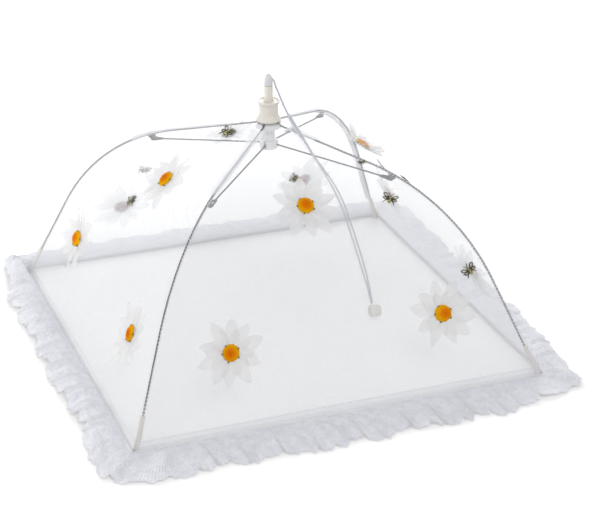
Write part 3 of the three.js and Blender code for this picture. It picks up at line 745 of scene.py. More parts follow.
def net_offset_at(distance):
    """How far the net lies off the rib's line: more where the pocket pushes it out."""
    start = rib_length - pocket_length - pocket_blend
    return net_offset + (net_offset_at_pocket - net_offset) * smooth((distance - start) / pocket_blend)


def panel_at(distance, lift=0.0):
    """Half width, height and slope of a panel at a distance down its ribs, lifted off its inner face."""
    radius, height = rib_at(distance, net_offset_at(distance))
    slope = np.arctan(np.tan(rib_slope(distance)) * math.sqrt(2))
    return radius / math.sqrt(2) + lift * np.sin(slope), height + lift * np.cos(slope), slope


past_foot = 0.01
down = np.linspace(-pivot_radius / 2, rib_length + past_foot, line_samples)
net_top = float(np.interp(net_top_radius, rib_at(down, net_offset)[0], down))


def distance_at_height(height):
    """How far down the ribs the net is at a height above the table."""
    return float(np.interp(-height, -panel_at(down)[1], down))


net_bottom = distance_at_height(net_lift)
hem_top = distance_at_height(net_lift + hem_width)


def net_point(across, distance, lift=0.0):
    """Points of the front panel, at shares from -1 to 1 across it."""
    half, height, _ = panel_at(distance, lift)
    reach = half * math.sqrt(2)
    square = smooth((reach - square_from) / (square_at - square_from))
    along = (distance - net_top) / (net_bottom - net_top)
    bow = net_bow * np.sin(math.pi * np.clip(along, 0, 1)) * (1 - across**2)
    angle = across * math.pi / 4
    x = reach * np.sin(angle) * (1 - square) + half * across * square
    y = reach * np.cos(angle) * (1 - square) + (half - bow) * square
    return np.stack([x, -y, np.broadcast_to(height, np.shape(x))], -1)


def grid_faces(rows, columns, flip=False):
    """Faces of a grid of points; flip turns its other side out."""
    faces = []
    for i in range(rows - 1):
        for j in range(columns - 1):
            a = i * columns + j
            face = (a, a + 1, a + columns + 1, a + columns)
            faces.append(face[::-1] if flip else face)
    return faces


def weave_group():
    """Coverage and height of a square net with rounded holes, from UVs in metres."""
    hole_rounding, thread_edge, thread_round = 0.12, 0.03, (-0.07, 0.05)
    tree, given, made = group_called(
        "weave",
        [("Pitch", "NodeSocketFloat", 0.001), ("Thread", "NodeSocketFloat", 0.2)],
        [("Cover", "NodeSocketFloat"), ("Height", "NodeSocketFloat")],
    )
    along = place(tree, "SeparateXYZ", place(tree, "TexCoord").node.outputs["UV"]).node.outputs
    off_thread = []
    for axis in (0, 1):
        share = calc(tree, "FRACT", calc(tree, "DIVIDE", along[axis], given["Pitch"]))
        off_thread.append(calc(tree, "ABSOLUTE", calc(tree, "SUBTRACT", share, 0.5)))
    nearest = calc(tree, "SMOOTH_MIN", off_thread[0], off_thread[1], hole_rounding)
    past = calc(tree, "SUBTRACT", nearest, calc(tree, "MULTIPLY", given["Thread"], 0.5))
    tree.links.new(place(tree, "MapRange", past, -thread_edge, thread_edge, 1.0, 0.0), made["Cover"])
    tree.links.new(place(tree, "MapRange", past, *thread_round, 1.0, 0.0), made["Height"])
    return tree


weave = weave_group()


def woven_material(name, pitch, thread, scale, roughness):
    """Bright matt threads with clear holes between them; thread is its share of the pitch."""
    material = new_material(name)
    look = use_group(material, mottle, Color=mesh_color, Shade=mesh_shade, Amount=0.5, Scale=scale,
                     Roughness=roughness)
    threads = use_group(material, weave, Pitch=pitch, Thread=thread)
    return finish_with(
        material,
        Base_Color=look["Color"],
        Roughness=look["Roughness"],
        Alpha=threads["Cover"],
        Normal=bump_of(material, threads["Height"], strength=0.3, distance=0.0001),
        Sheen_Weight=0.2,
    )


net_cloth = woven_material("net_cloth", net_pitch, net_thread, scale=40.0, roughness=0.75)
net_rows = 90
hem_rows = 8


def half_net(side):
    """One half panel from just beside its rib to the middle, with the hem turned up outside it."""
    distance = np.linspace(net_top, net_bottom, net_rows)
    hem = np.linspace(net_bottom, hem_top, hem_rows)
    rows = np.concatenate([distance, hem])
    lift = np.concatenate([0 * distance, np.full(len(hem), hem_gap)])
    share = np.linspace(0, 1, net_columns)[None, :]
    gap = net_gap_at_rib / panel_at(rows)[0][:, None]
    across = side * (1 - gap) * (1 - share)
    points = net_point(across, rows[:, None], lift[:, None])
    down_the_cloth = np.concatenate([distance, 2 * net_bottom - hem])
    uv = np.stack([points[..., 0], np.broadcast_to(-down_the_cloth[:, None], points.shape[:2])], -1)
    return points, uv, grid_faces(len(rows), net_columns, flip=side > 0)


def fold_with_net(piece):
    """Bakes a piece's placing into its points, so that it stands in the frame."""
    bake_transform(piece)


# Each panel is cut at its own angle to the threads of its cloth.
cut_angles = {"front": 0.0, "right": 0.39, "back": 0.78, "left": 1.18}
for panel, half, side, corner in half_panels:
    points, uv, faces = half_net(side)
    c, s = math.cos(cut_angles[panel]), math.sin(cut_angles[panel])
    uv = uv @ np.array([[c, s], [-s, c]])
    net = new_piece(f"net_cloth_{panel}_{half}", swung(points, panel_turns[panel]), faces, net_cloth, uv=uv)
    fold_with_net(net)
    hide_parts(f"net_{panel}_{half}")
    width, length = float(panel_at(net_bottom)[0]), float(net_bottom - net_top + hem_width)

# Seams: the panels are joined over the ribs. Near the crown the seam is turned up and lies on the wire
# as a white tape of folded net, and one leg at the back is bound on the inside with a narrower one.
# Two rows of white thread hold the hem.
tape_width = 0.0078
tape_lift = 0.0008
tape_thread = 0.42
tape_spans = {
    "front_left": (0.012, 0.118), "front_right": (0.012, 0.046), "back_right": (0.034, 0.120),
    "back_left": (0.018, 0.150),
}
bound_corner = "back_right"
bound_from = 0.112
bound_width = 0.0042
bound_lift = -net_offset - 0.0017
bound_thread = 0.75
tape_rows = 40
tape_columns = 5
hem_row_gap = 0.0055
dash_length = 0.0025
dash_steps = 3
dash_gap = 0.0008
dash_radius = 0.00022


def seam_strip(side, start, stop, width, lift):
    """A narrow strip of one panel beside its rib, lifted off the net."""
    distance = np.linspace(start, stop, tape_rows)[:, None]
    half = panel_at(distance)[0]
    across = side * (1 - np.linspace(0, 1, tape_columns)[None, :] * width / half)
    points = net_point(across, distance, lift)
    uv = np.stack([points[..., 0], np.broadcast_to(-distance, points.shape[:2])], -1)
    return points, uv, grid_faces(tape_rows, tape_columns, flip=side > 0)


def hem_stitches(side, row_at):
    """Short dashes of thread along one row of the hem, from the rib to the middle."""
    half = float(panel_at(row_at)[0])
    count = int(half / (dash_length + dash_gap))
    parts = []
    for dash in range(count):
        start = dash * (dash_length + dash_gap) + dash_gap
        across = side * (1 - np.linspace(start, start + dash_length, dash_steps) / half)
        line = net_point(across, np.full(dash_steps, row_at), hem_gap + dash_radius)
        line[1, 1] -= dash_radius
        parts.append(tube(line, dash_radius, thread_sides))
    return joined(*parts)


# Net folded on itself has twice the threads, and the holes between them are partly covered.
turned_tape = woven_material("seam_tape", net_pitch / 2, tape_thread, scale=90.0, roughness=0.8)
binding_tape = woven_material("seam_binding", net_pitch / 2, bound_thread, scale=90.0, roughness=0.8)
for panel, half, side, corner in half_panels:
    turn = panel_turns[panel]
    strips = [("tape", tape_spans[corner], tape_width, tape_lift, turned_tape)]
    if corner == bound_corner:
        bound_span = (bound_from, rib_length - pocket_length)
        strips.append(("binding", bound_span, bound_width, bound_lift, binding_tape))
    for kind, span, width, lift, material in strips:
        points, uv, faces = seam_strip(side, *span, width, lift)
        name, points = f"{kind}_{panel}_{half}", swung(points, turn)
        new_piece(name, points, faces, material, "rib_" + corner, uv=uv)
    rows = [hem_stitches(side, row_at) for row_at in (hem_top + dash_gap, hem_top + hem_row_gap)]
    points, faces = joined(*rows)
    stitches = new_piece(f"hem_stitches_{panel}_{half}", swung(points, turn), faces, white_thread)
    fold_with_net(stitches)

# Lace: a gathered frill, sewn over the hem, that falls outside it and lies on the table in soft
# folds. It is a dense white net worked with flowers and stems, and its outer edge runs in large
# scallops with smaller ones and picots on them, along three worked cords.
lace_width = 0.047
lace_gather = 1.1
lace_top_lift = 0.0015
lace_sewn_at = 0.0030
lace_rows = 24
lace_steps = 420
halves_round = 8
large_scallops = 3.25
small_scallops = 13
picots = 39
scallop_start = -0.05
large_depth = 0.0070
small_depth = 0.0044
picot_depth = 0.0019
fold_count = 53
fold_height = 0.0042
fold_sway = 0.0026
ruffle_count = 127
ruffle_height = 0.0016
crumple_counts = (89, 67)
crumple_height = 0.0021
free_reach = 0.044
bunch_limits = (0.8, 2.4)
off_hem = 0.006
puff_share = 1.25
puff_limits = (0.003, 0.028)
edge_height = 0.0008
uneven_reach = 0.0015
uneven_waves = 9
still_at_corner = 0.1
still_at_middle = 0.06
lace_white = (0.93, 0.935, 0.965, 1)
lace_shade = (0.72, 0.73, 0.82, 1)
# The ground's colour is painted shade: the lace's white made darker and bluer for the shadow under the open lace.
lace_ground_painted_shade = (0.80, 0.81, 0.89, 1)
ground_pitch = 0.0015
ground_thread = 0.40
ground_cover = (0.72, 0.96)
flower_spacing = 0.0125
flower_disorder = 0.8
flower_radius = 0.0062
flower_sizes = 0.0024
flower_petals = 5.0
petal_cut = 0.24
flower_edge = (-0.0012, 0.0014)
flower_cover = 0.85
eye_edge = (0.0010, 0.0018)
eye_cover = 0.45
stem_scale = 75.0
stem_edge = (0.010, 0.050)
stem_cover = 0.8
edge_cords = 0.0036
cord_edge = (0.1, 0.7)
cord_band = (0.4 * edge_cords, 2.6 * edge_cords)
gathered_top = (-0.004, -0.003)
worked_cover = 0.97
worked_relief = 0.10
crumple_scale = 95.0
reach_at_middle = {"front": 0.056, "right": 0.040, "back": 0.042, "left": 0.036}
reach_at_corner = {
    ("front", "left"): 0.052, ("front", "right"): 0.043, ("right", "front"): 0.030, ("right", "back"): 0.042,
    ("back", "right"): 0.042, ("back", "left"): 0.032, ("left", "back"): 0.021, ("left", "front"): 0.040,
}
corner_run = 0.075
lean_run = 0.05
corner_squareness = 6
lace_line = panel_at(distance_at_height(net_lift + lace_sewn_at), lace_top_lift)
hem_half, hem_height = float(lace_line[0]), float(lace_line[1])


def lace_reach(panel, half, corner, share, lean):
    """How far the frill lies out: its side's own reach, and squarely round the corner to the next side's."""
    own = reach_at_corner[panel, half]
    beside = [entry[:2] for entry in half_panels if entry[3] == corner and entry[0] != panel]
    other = reach_at_corner[beside[0]]
    into = smooth(share * hem_half / corner_run)
    own = own + (reach_at_middle[panel] - own) * into
    straight, aside = np.cos(lean) / own, np.abs(np.sin(lean)) / other
    return (straight**corner_squareness + aside**corner_squareness) ** (-1 / corner_squareness)


def lace_folds(around, fall, reach):
    """Heights of the gathers and crumples round the frill; where it is drawn in, it bunches."""
    # The odd phases and factors only keep the waves from falling into step.
    turn = 2 * math.pi * around
    wide = 0.5 + 0.5 * np.sin(fold_count * turn + 1.9 * np.sin(7 * turn) + 1.6 * fall)
    narrow = 0.5 + 0.5 * np.sin(ruffle_count * turn + 2.2 * np.sin(11 * turn + 1) - 2.5 * fall)
    crumple = np.sin(crumple_counts[0] * turn + 7 * fall + 2 * np.sin(19 * turn))
    crumple = crumple * np.cos(crumple_counts[1] * turn - 11 * fall + 1.3)
    uneven = 0.62 + 0.38 * np.sin(13 * turn + 0.6)
    bunched = np.clip(free_reach / reach, *bunch_limits)
    risen = (fold_height * wide * uneven + ruffle_height * narrow) * fall**1.1 * (1.55 - fall**2)
    return (risen + crumple_height * (0.5 + 0.5 * crumple) * fall * (1.4 - fall)) * bunched


def edge_trim(way):
    """What the scalloped edge takes off the lace's width, at half panels round from the front corner."""
    trim = 0 * way
    for count, depth in ((large_scallops, large_depth), (small_scallops, small_depth), (picots, picot_depth)):
        drift = scallop_start + 0.12 * np.sin(2 * math.pi * round(count) * 5 * way / halves_round)
        trim = trim + depth * (1 - np.abs(np.sin(math.pi * (way * count + drift))) ** 0.8)
    return trim


def half_lace(index, panel, half, side, corner):
    """A half side of the frill from its corner to the middle, in rows from the hem to the edge."""
    share = np.linspace(0, 1, lace_steps)
    fall = np.linspace(0, 1, lace_rows)[:, None]
    way = index + (1 - share if side > 0 else share)
    around = way / halves_round
    lean = side * math.pi / 4 * (1 - smooth(share * hem_half / lean_run))
    outward = np.stack([np.sin(lean), -np.cos(lean), 0 * lean], 1)
    uneven = uneven_reach * np.sin(2 * math.pi * around * uneven_waves + 1.1)
    reach = lace_reach(panel, half, corner, share, lean) + uneven
    fall_here = fall * (1 - edge_trim(way) / lace_width)[None, :]
    between = fall_here * (1 - fall_here)
    out = 2 * between * off_hem + fall_here**2 * reach[None, :]
    out = out + between * 0.5 * reach[None, :]
    puffed = np.clip(puff_share * (lace_width - reach), *puff_limits)[None, :]
    height = (1 - fall_here) ** 2 * hem_height + 2 * between * puffed + fall_here**2 * edge_height
    height = height + lace_folds(around, fall_here, reach)
    sway = fold_sway * fall_here * np.cos(2 * math.pi * fold_count * around + 0.8)
    hem_line = np.stack([side * hem_half * (1 - share), np.full(lace_steps, -hem_half), 0 * share], 1)
    points = hem_line[None] + out[..., None] * outward[None]
    points[..., 0] += sway * smooth(share / still_at_corner) * smooth((1 - share) / still_at_middle)
    points[..., 2] = height
    flat_along = np.broadcast_to(way * hem_half * lace_gather, fall_here.shape)
    flat_down = np.broadcast_to(-fall * lace_width, fall_here.shape)
    return points, np.stack([flat_along, flat_down], -1)


def lace_material():
    """Worked flowers and stems on a close ground painted darker and bluer as shade, with cords along the edge and
    the gathered top.
    """
    material = new_material("lace_cloth")
    tree = material.node_tree
    uv = place(tree, "TexCoord").node.outputs["UV"]
    look = use_group(material, mottle, Color=lace_white, Shade=lace_shade, Amount=0.9, Scale=60.0,
                     Roughness=0.8)
    ground = use_group(material, weave, Pitch=ground_pitch, Thread=ground_thread)
    cells = place(tree, "TexVoronoi", uv, None, 1 / flower_spacing, voronoi_dimensions="2D").node
    cells.inputs["Randomness"].default_value = flower_disorder
    from_middle = place(tree, "VectorMath", uv, cells.outputs["Position"], operation="SUBTRACT")
    radius = place(tree, "VectorMath", from_middle, operation="LENGTH").node.outputs["Value"]
    axes = place(tree, "SeparateXYZ", from_middle).node.outputs
    chance = place(tree, "SeparateColor", cells.outputs["Color"]).node.outputs
    angle = calc(tree, "ARCTAN2", axes[1], axes[0])
    turned = calc(tree, "MULTIPLY", chance[0], 6.0)
    petals = calc(tree, "COSINE", calc(tree, "MULTIPLY_ADD", angle, flower_petals, turned))
    size = calc(tree, "MULTIPLY_ADD", chance[1], flower_sizes, flower_radius - flower_sizes / 2)
    edge_at = calc(tree, "MULTIPLY", calc(tree, "MULTIPLY_ADD", petals, petal_cut, 1 - petal_cut), size)
    inside = calc(tree, "SUBTRACT", edge_at, radius)
    flower = place(tree, "MapRange", inside, *flower_edge, 0.0, flower_cover)
    eye = place(tree, "MapRange", radius, *eye_edge, eye_cover, 1.0)
    flower = calc(tree, "MULTIPLY", flower, eye)
    wander = place(tree, "TexNoise", uv, None, stem_scale, 1.0)
    stem = calc(tree, "ABSOLUTE", calc(tree, "SUBTRACT", wander, 0.5))
    stem = place(tree, "MapRange", stem, *stem_edge, stem_cover, 0.0)
    down = place(tree, "SeparateXYZ", uv).node.outputs[1]
    from_edge = calc(tree, "ADD", down, lace_width)
    cord = calc(tree, "COSINE", calc(tree, "MULTIPLY", from_edge, 2 * math.pi / edge_cords))
    cord = calc(tree, "MULTIPLY", place(tree, "MapRange", cord, *cord_edge, 0.0, 1.0),
                place(tree, "MapRange", from_edge, *cord_band, 1.0, 0.0))
    top = place(tree, "MapRange", down, *gathered_top, 0.0, 1.0)
    worked = calc(tree, "MAXIMUM", calc(tree, "MAXIMUM", flower, stem), calc(tree, "MAXIMUM", cord, top))
    cover = calc(tree, "MAXIMUM", calc(tree, "MULTIPLY", worked, worked_cover),
                 place(tree, "MapRange", ground["Cover"], 0.0, 1.0, *ground_cover))
    crumple = place(tree, "TexNoise", uv, None, crumple_scale, 2.0)
    threads = calc(tree, "ADD", worked, ground["Height"])
    relief = calc(tree, "MULTIPLY_ADD", threads, worked_relief, crumple)
    # The ground's threads take the colour with the painted shade, and the worked ones take the white.
    return finish_with(
        material,
        Base_Color=blended(tree, worked, lace_ground_painted_shade, look["Color"]),
        Roughness=look["Roughness"],
        Alpha=cover,
        Normal=bump_of(material, relief, strength=0.8, distance=0.0045),
        Sheen_Weight=0.15,
    )


lace_cloth = lace_material()
for index, (panel, half, side, corner) in enumerate(half_panels):
    turn = panel_turns[panel]
    points, uv = half_lace(index, panel, half, side, corner)
    faces = grid_faces(lace_rows, lace_steps, flip=side > 0)
    lace = new_piece(f"frill_{panel}_{half}", swung(points, turn), faces, lace_cloth, uv=uv)
    fold_with_net(lace)
    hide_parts(f"lace_{panel}_{half}")

# Rib pockets: short sleeves of white cloth in the corners of the net that hold the rib feet. They
# are slightly brown with handling, creased along the wire, and stand flat on the table.
pocket_radius = 0.0027
pocket_past_foot = 0.0025
pocket_draw = 0.18
pocket_flattened = 0.9
pocket_steps = 26
pocket_sides = 20
sleeve_white = (0.78, 0.76, 0.73, 1)
sleeve_shade = (0.62, 0.56, 0.48, 1)


def pocket_sleeve():
    """The sleeve along the rib's leg, drawn in a little at its upper end and flat on the table below."""
    up = np.linspace(pocket_length, -pocket_past_foot, pocket_steps)
    angles = np.linspace(0, 2 * math.pi, pocket_sides, endpoint=False)
    rings = []
    for distance in up:
        radius, height = foot_radius_out - distance * math.cos(leg_slope), distance * math.sin(leg_slope)
        creased = 1 + 0.06 * np.sin(3 * angles + 130 * distance) + 0.04 * np.sin(5 * angles - 210 * distance)
        drawn = 1 - pocket_draw * (1 - smooth(1 - distance / pocket_length))
        reach = pocket_radius * creased * drawn
        sideways, ahead = reach * np.cos(angles), reach * pocket_flattened * np.sin(angles)
        out, height = radius + ahead * math.sin(leg_slope), height + ahead * math.cos(leg_slope)
        rings.append(np.stack([out, sideways, np.maximum(height, 0)], 1))
    return np.concatenate(rings), capped_faces(pocket_steps, pocket_sides)


pocket_cloth = mottled_material(
    "sleeve_cloth", sleeve_white, sleeve_shade, amount=0.8, scale=120.0, roughness=0.85, strength=0.5,
    distance=0.0002, Alpha=0.9, Sheen_Weight=0.2,
)
sleeve_points, sleeve_faces = pocket_sleeve()
for corner, turn in corner_turns.items():
    points = swung(sleeve_points, turn)
    pocket = new_piece("pocket_sleeve_" + corner, points, sleeve_faces, pocket_cloth, "rib_" + corner)
    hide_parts("pocket_" + corner)

# Daisies: each is two layers of ten satin petals, stamped in one piece and set half a petal apart,
# sewn to the net through a raised orange middle that is edged with gold and dotted with dark green.
daisy_radius = 0.0315
petal_count = 10
upper_share = 0.70
petal_rows = 16
petal_columns = 9
petal_width = 0.0120
point_length = 0.0135
petal_root = 0.003
petal_overlap = 0.0002
petal_crease = 0.0009
petal_ribs = 0.0002
petal_twist = 0.0011
petal_sway = 0.0012
odd_turn, odd_length, odd_width, odd_curl = 0.07, 0.05, 0.10, 0.45
daisy_lift = 0.0014
layer_gap = 0.0009
lower_curl = 0.0030
upper_curl = 0.0040
upper_key = 4
top_key = 20
panel_tilt = 0.3
side_tilt = 0.13
top_tilt = -0.09
over_petals = 0.0004
side_seat = (0.101, 0.070)
side_seats = {
    ("front", "left"): (0.099, 0.068), ("front", "right"): (0.107, 0.070),
    ("left", "back"): (0.097, 0.076), ("left", "front"): (0.103, 0.068),
}
top_seats = {
    "front": (-0.003, 0.169), "right": (-0.006, 0.178), "back": (0.0, 0.1575), "left": (0.003, 0.170),
}
top_cups = {"front": 1.0, "right": 3.0, "back": 1.0, "left": 1.0}


def sewn_at(across, height):
    """Where a thing is sewn on the front panel: how far across it, and how far down it."""
    return across, distance_at_height(height)


def laid_on_net(seat, sideways, upwards, lift):
    """Points a distance sideways and upwards from a seat on the front panel, lifted off its cloth."""
    across, distance = seat
    slope = float(rib_slope(distance))
    speed = math.hypot(math.cos(slope) / math.sqrt(2), math.sin(slope))
    there = distance - upwards / speed
    return net_point((across + sideways) / panel_at(there)[0], there, lift)


def petal_layer(radius, seat_lift, turn, curl, key):
    """Petals as (sideways, upwards, lift) with their faces: pointed, creased and none quite alike."""
    scale = radius / daisy_radius
    parts = []
    for petal in range(petal_count):
        odd = [math.sin(rate * petal + 2.3 * key + rate) for rate in (5.1, 3.7, 7.9, 2.9)]
        angle = turn + 2 * math.pi * petal / petal_count + odd_turn * odd[0]
        length = radius * (1 + odd_length * odd[1])
        share = (1 - (1 - np.linspace(0, 1, petal_rows)) ** 1.6)[:, None]
        out = petal_root + (length - petal_root) * share
        to_tip = np.clip((length - out) / (point_length * scale), 0, 1)
        wide = petal_width / 2 * scale * (1 + odd_width * odd[2]) * (1 - (1 - to_tip) ** 1.9) ** 0.8
        wide = np.minimum(wide, out * math.tan(math.pi / petal_count)) + petal_overlap
        along_width = np.linspace(-1, 1, petal_columns)[None, :]
        sideways = along_width * wide + petal_sway * odd[3] * share**2
        crease = petal_crease * (np.abs(along_width) - 0.5) * np.sin(math.pi * share)
        ribs = petal_ribs * np.cos(4 * math.pi * along_width) * np.sin(math.pi * share)
        twist = petal_twist * odd[2] * along_width * share
        bend = curl * share**2 * (1 + odd_curl * odd[3])
        lift = seat_lift + crease + ribs + twist + bend
        x = out * math.cos(angle) - sideways * math.sin(angle)
        y = out * math.sin(angle) + sideways * math.cos(angle)
        parts.append((np.stack([x, y, lift], -1), grid_faces(petal_rows, petal_columns, flip=True)))
    return parts


satin_white = (0.835, 0.835, 0.835, 1)
# The grey that the petals fade to in patches is painted shade.
satin_painted_shade = (0.69, 0.69, 0.72, 1)
satin_cover = (0.86, 0.40)


def satin_material():
    """Sheer white satin that lets light through, with a fine grain and random patches of painted grey shade."""
    material = new_material("petal_satin")
    look = use_group(material, mottle, Color=satin_white, Shade=satin_painted_shade, Amount=0.7, Scale=150.0,
                     Roughness=0.6)
    turned_away = place(material.node_tree, "NewGeometry").node.outputs["Backfacing"]
    return finish_with(
        material,
        Base_Color=look["Color"],
        Roughness=look["Roughness"],
        Normal=bump_of(material, look["Height"], strength=0.2, distance=0.0001),
        Alpha=place(material.node_tree, "MapRange", turned_away, 0.0, 1.0, *satin_cover),
        Transmission_Weight=0.35,
        IOR=1.05,
        Sheen_Weight=0.1,
    )


flock_orange = (0.76, 0.16, 0.002, 1)
flock_light = (0.86, 0.34, 0.003, 1)
rim_gold = (0.78, 0.42, 0.003, 1)
flock_scale = 2500.0
fleck_edge = (0.35, 0.7)


def bud_material():
    """The raised middle: orange flock with lighter flecks, turning to gold at its rim."""
    material = new_material("flower_middle")
    tree = material.node_tree
    uv = place(tree, "TexCoord").node.outputs["UV"]
    radius = place(tree, "SeparateXYZ", uv).node.outputs[1]
    ramp = place(tree, "ValToRGB", radius).node
    for stop, (color, share) in zip(ramp.color_ramp.elements, ((flock_orange, 0.45), (rim_gold, 0.90))):
        stop.color = color
        stop.position = share
    where = place(tree, "TexCoord").node.outputs["Object"]
    grain = place(tree, "TexNoise", where, None, flock_scale, 3.0)
    fleck = place(tree, "MapRange", grain, *fleck_edge, 0.0, 0.5)
    return finish_with(
        material,
        Base_Color=blended(tree, fleck, ramp.outputs[0], flock_light),
        Roughness=0.85,
        Specular_IOR_Level=0.05,
        Normal=bump_of(material, grain, strength=0.8, distance=0.0006),
    )


dot_green = (0.10, 0.13, 0.03, 1)
dot_shade = (0.3, 0.28, 0.05, 1)


def dot_material():
    """Dark green beads with a yellowish tinge."""
    material = new_material("green_dot")
    look = use_group(material, mottle, Color=dot_green, Shade=dot_shade, Amount=0.6, Scale=900.0,
                     Roughness=0.6)
    return finish_with(material, Base_Color=look["Color"], Roughness=look["Roughness"])


satin = satin_material()
flower_middle = bud_material()
green_dot = dot_material()
bud_radius = 0.0079
bud_height = 0.0034
bud_dimples = 0.0003
bud_rings = 14
bud_sides = 48
dot_radius = 0.00085
dot_lift = 0.0007
dot_turns = (0.35, 2.05, 3.10, 4.30, 5.65)
dot_rings = 6
dot_sides = 10


def bud_shape(lift):
    """The middle as (sideways, upwards, lift), its faces and its UVs of turn and share of radius."""
    points, uv = [], []
    for share in np.linspace(0.02, 1, bud_rings):
        angles = np.linspace(0, 2 * math.pi, bud_sides, endpoint=False)
        ragged = 1 + 0.04 * share * np.sin(12 * angles) + 0.02 * share * np.sin(29 * angles)
        reach = bud_radius * share * ragged
        dimples = bud_dimples * np.sin(9 * angles + 14 * share)
        dome = bud_height * math.sqrt(max(0, 1 - share**2.6)) + dimples
        points.append(np.stack([reach * np.cos(angles), reach * np.sin(angles), lift + dome], 1))
        uv.append(np.stack([angles, np.full(bud_sides, share)], 1))
    faces = ring_faces(bud_rings, bud_sides) + [tuple(reversed(range(bud_sides)))]
    return np.concatenate(points), faces, np.concatenate(uv)


def dots_shape(lift):
    """Small green beads round the edge of the middle."""
    parts = []
    around = np.linspace(0, 2 * math.pi, dot_sides, endpoint=False)
    for k, angle in enumerate(dot_turns):
        reach = bud_radius * (1.03 + 0.05 * math.sin(5 * k))
        centre = np.array([reach * math.cos(angle), reach * math.sin(angle), lift + dot_lift])
        rings = []
        for level in np.linspace(-1.3, 1.3, dot_rings):
            wide, high = math.cos(level), np.full(dot_sides, math.sin(level))
            ring = np.stack([wide * np.cos(around), wide * np.sin(around), high], 1)
            rings.append(centre + dot_radius * ring)
        parts.append((np.concatenate(rings), capped_faces(dot_rings, dot_sides)))
    return joined(*parts)


def sewn_piece(name, seat, turn, local, faces, material, uv=None):
    """Lays a shape of (sideways, upwards, lift) on a panel at its seat."""
    local = np.asarray(local, float).reshape(-1, 3)
    points = laid_on_net(seat, local[:, 0], local[:, 1], local[:, 2])
    return new_piece(name, swung(points, turn), faces, material, uv=uv)


def daisy_parts(tilt, key, cup=1.0):
    """All petals of both layers, as (points, faces) each; cup says how far they curl off the net."""
    start = math.pi / 2 + tilt
    half_step = math.pi / petal_count
    lower = petal_layer(daisy_radius, daisy_lift, start, lower_curl * cup, key)
    upper_radius, upper_lift = daisy_radius * upper_share, daisy_lift + layer_gap
    upper_turn, upper_cup = start + half_step, upper_curl * cup
    return lower + petal_layer(upper_radius, upper_lift, upper_turn, upper_cup, key + upper_key)


def raised_middle(name, seat, turn):
    """The bud that holds a flower's petals, and the dots round it."""
    lift = daisy_lift + layer_gap + over_petals
    bud, bud_faces, bud_uv = bud_shape(lift)
    middle = sewn_piece("middle_" + name, seat, turn, bud, bud_faces, flower_middle, bud_uv)
    return middle, sewn_piece("dots_" + name, seat, turn, *dots_shape(lift), green_dot)


for index, (panel, half, side, corner) in enumerate(half_panels):
    turn = panel_turns[panel]
    across, height = side_seats.get((panel, half), side_seat)
    seat = sewn_at(side * across, height)
    points, faces = joined(*daisy_parts(side_tilt * side + panel_tilt * turn, index))
    petals = sewn_piece(f"petals_{panel}_{half}", seat, turn, points, faces, satin)
    for piece in (petals, *raised_middle(f"{panel}_{half}", seat, turn)):
        fold_with_net(piece)
    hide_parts(f"daisy_{panel}_{half}")

# The top flower lies over the panel's fold: each half takes its own petals, and the middle goes with
# the first half.
for index, (panel, turn) in enumerate(panel_turns.items()):
    halves = [entry[1:3] for entry in half_panels if entry[0] == panel]
    seat = sewn_at(*top_seats[panel])
    petals = daisy_parts(panel_tilt * turn + top_tilt, index + top_key, top_cups[panel])
    for half, side in halves:
        own = [part for part in petals if (part[0][..., 0].mean() > 0) == (side > 0)]
        points, faces = joined(*own)
        piece = sewn_piece(f"petals_{panel}_top_{half}", seat, turn, points, faces, satin)
        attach(piece, f"net_{panel}_{half}")
        if side < 0:
            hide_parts(f"daisy_{panel}_top")
    for piece in raised_middle(panel + "_top", seat, turn):
        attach(piece, f"net_{panel}_{halves[0][0]}")

# Bees: small insects of printed and stiffened cloth, mostly about 14 mm across their legs, stuck on
# the net. Each has a striped yellow body, pale wings with a dark edge, six legs and two feelers.
bee_lift = 0.0008
bee_body_length = 0.0088
bee_body_width = 0.0038
bee_body_height = 0.0013
bee_line = 0.00042
bee_body_steps = 16
bee_body_sides = 12
bee_wings = ((0.0068, 0.0024, 0.62), (0.0050, 0.0019, 0.02))
wing_root = (0.0011, 0.0012)
wing_steps = 20
wing_lift = 0.0010
bee_legs = ((0.0052, 1.15), (0.0058, 0.25), (0.0056, -0.75))
leg_root = (0.0012, -0.0006)
leg_bow = 0.0009
leg_lift = 0.0003
leg_arch = 0.0006
leg_steps = 6
leg_thick, leg_taper = 1.25, 0.55
feeler_from = 0.0005
feelers_up = 0.46
feeler_thick = 0.8
feeler_spread = 0.0018
feeler_length = 0.0030
feeler_lift = 0.0007
feeler_steps = 5
line_sides = 5
on_dark, on_wing = -1.0, -2.0


